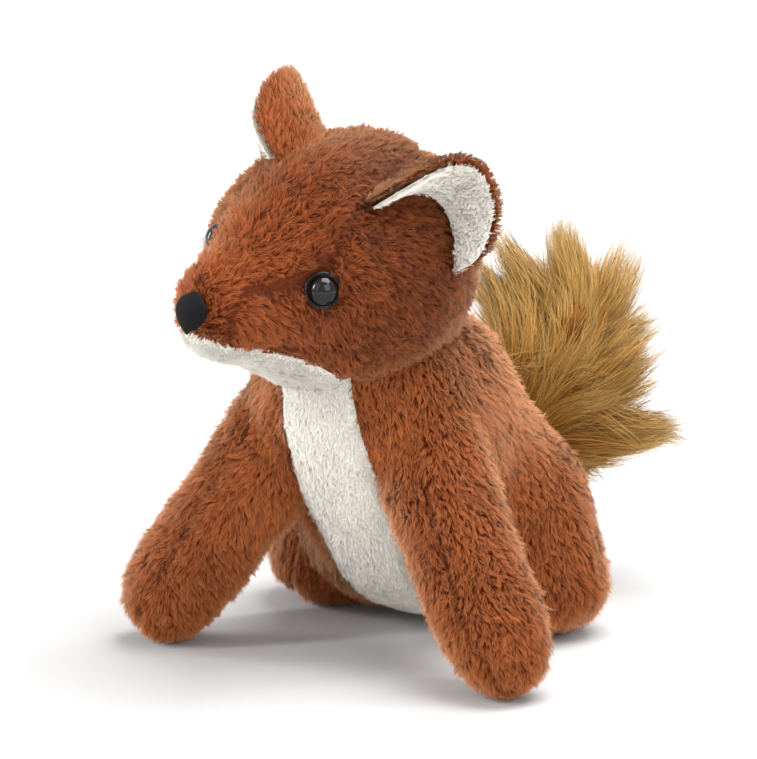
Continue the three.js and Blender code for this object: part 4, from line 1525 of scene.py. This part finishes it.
def camera():
    """The photograph's view: from the fox's left of its front, and a little above it."""
    turn, rise = math.radians(VIEW_TURN), math.radians(VIEW_RISE)
    back = Vector((math.sin(turn) * math.cos(rise), -math.cos(turn) * math.cos(rise), math.sin(rise)))
    right = Vector((math.cos(turn), math.sin(turn), 0))
    data = bpy.data.cameras.new("camera")
    data.sensor_width = SENSOR
    data.lens = FOCAL / PICTURE_HEIGHT * SENSOR
    data.shift_x = (PICTURE_WIDTH / 2 - PICTURE_CENTRE[0]) / PICTURE_HEIGHT
    data.shift_y = (PICTURE_CENTRE[1] - PICTURE_HEIGHT / 2) / PICTURE_HEIGHT
    data.clip_start, data.clip_end = NEAREST, FARTHEST
    eye = linked("camera", data)
    pose = Matrix((right, back.cross(right), back)).transposed().to_4x4()
    pose.translation = Vector(VIEW_MIDDLE) + back * VIEW_DISTANCE
    eye.matrix_world = pose
    bpy.context.scene.camera = eye


class PLUSHFOX_PT_panel(bpy.types.Panel):
    """Lists the fox's pieces and their settings"""

    bl_idname = "PLUSHFOX_PT_panel"
    bl_label = "Plush fox"
    bl_space_type = "VIEW_3D"
    bl_region_type = "UI"
    bl_category = "Plush fox"

    def draw(self, context):
        for group_name, group in GROUPS.items():
            box = self.layout.box()
            for name in group.__annotations__:
                box.prop(getattr(context.scene, group_name), name)
        for operator in OPERATORS:
            self.layout.operator(operator.bl_idname)


GROUPS = {
    "plush_fox_pile": PlushFoxPile,
    "plush_fox_colours": PlushFoxColours,
    "plush_fox_stage": PlushFoxStage,
}
OPERATORS = [
    PLUSHFOX_OT_stage,
    PLUSHFOX_OT_inner_parts,
    PLUSHFOX_OT_head_skin,
    PLUSHFOX_OT_torso_skin,
    PLUSHFOX_OT_leg_skins,
    PLUSHFOX_OT_ears,
    PLUSHFOX_OT_tail,
    PLUSHFOX_OT_bead_eyes,
    PLUSHFOX_OT_nose,
]


def register():
    for item in (*GROUPS.values(), *OPERATORS, PLUSHFOX_PT_panel):
        bpy.utils.register_class(item)
    for name, group in GROUPS.items():
        setattr(bpy.types.Scene, name, bpy.props.PointerProperty(type=group))


def unregister():
    for name in GROUPS:
        delattr(bpy.types.Scene, name)
    for item in reversed((*GROUPS.values(), *OPERATORS, PLUSHFOX_PT_panel)):
        bpy.utils.unregister_class(item)


def main():
    register()
    bpy.context.scene.view_settings.view_transform = "Standard"
    bpy.ops.plush_fox.stage()
    bpy.ops.plush_fox.inner_parts()
    bpy.ops.plush_fox.head_skin()
    bpy.ops.plush_fox.torso_skin()
    bpy.ops.plush_fox.leg_skins()
    bpy.ops.plush_fox.ears()
    bpy.ops.plush_fox.tail()
    bpy.ops.plush_fox.bead_eyes()
    bpy.ops.plush_fox.nose()


if __name__ == "__main__":
    main()
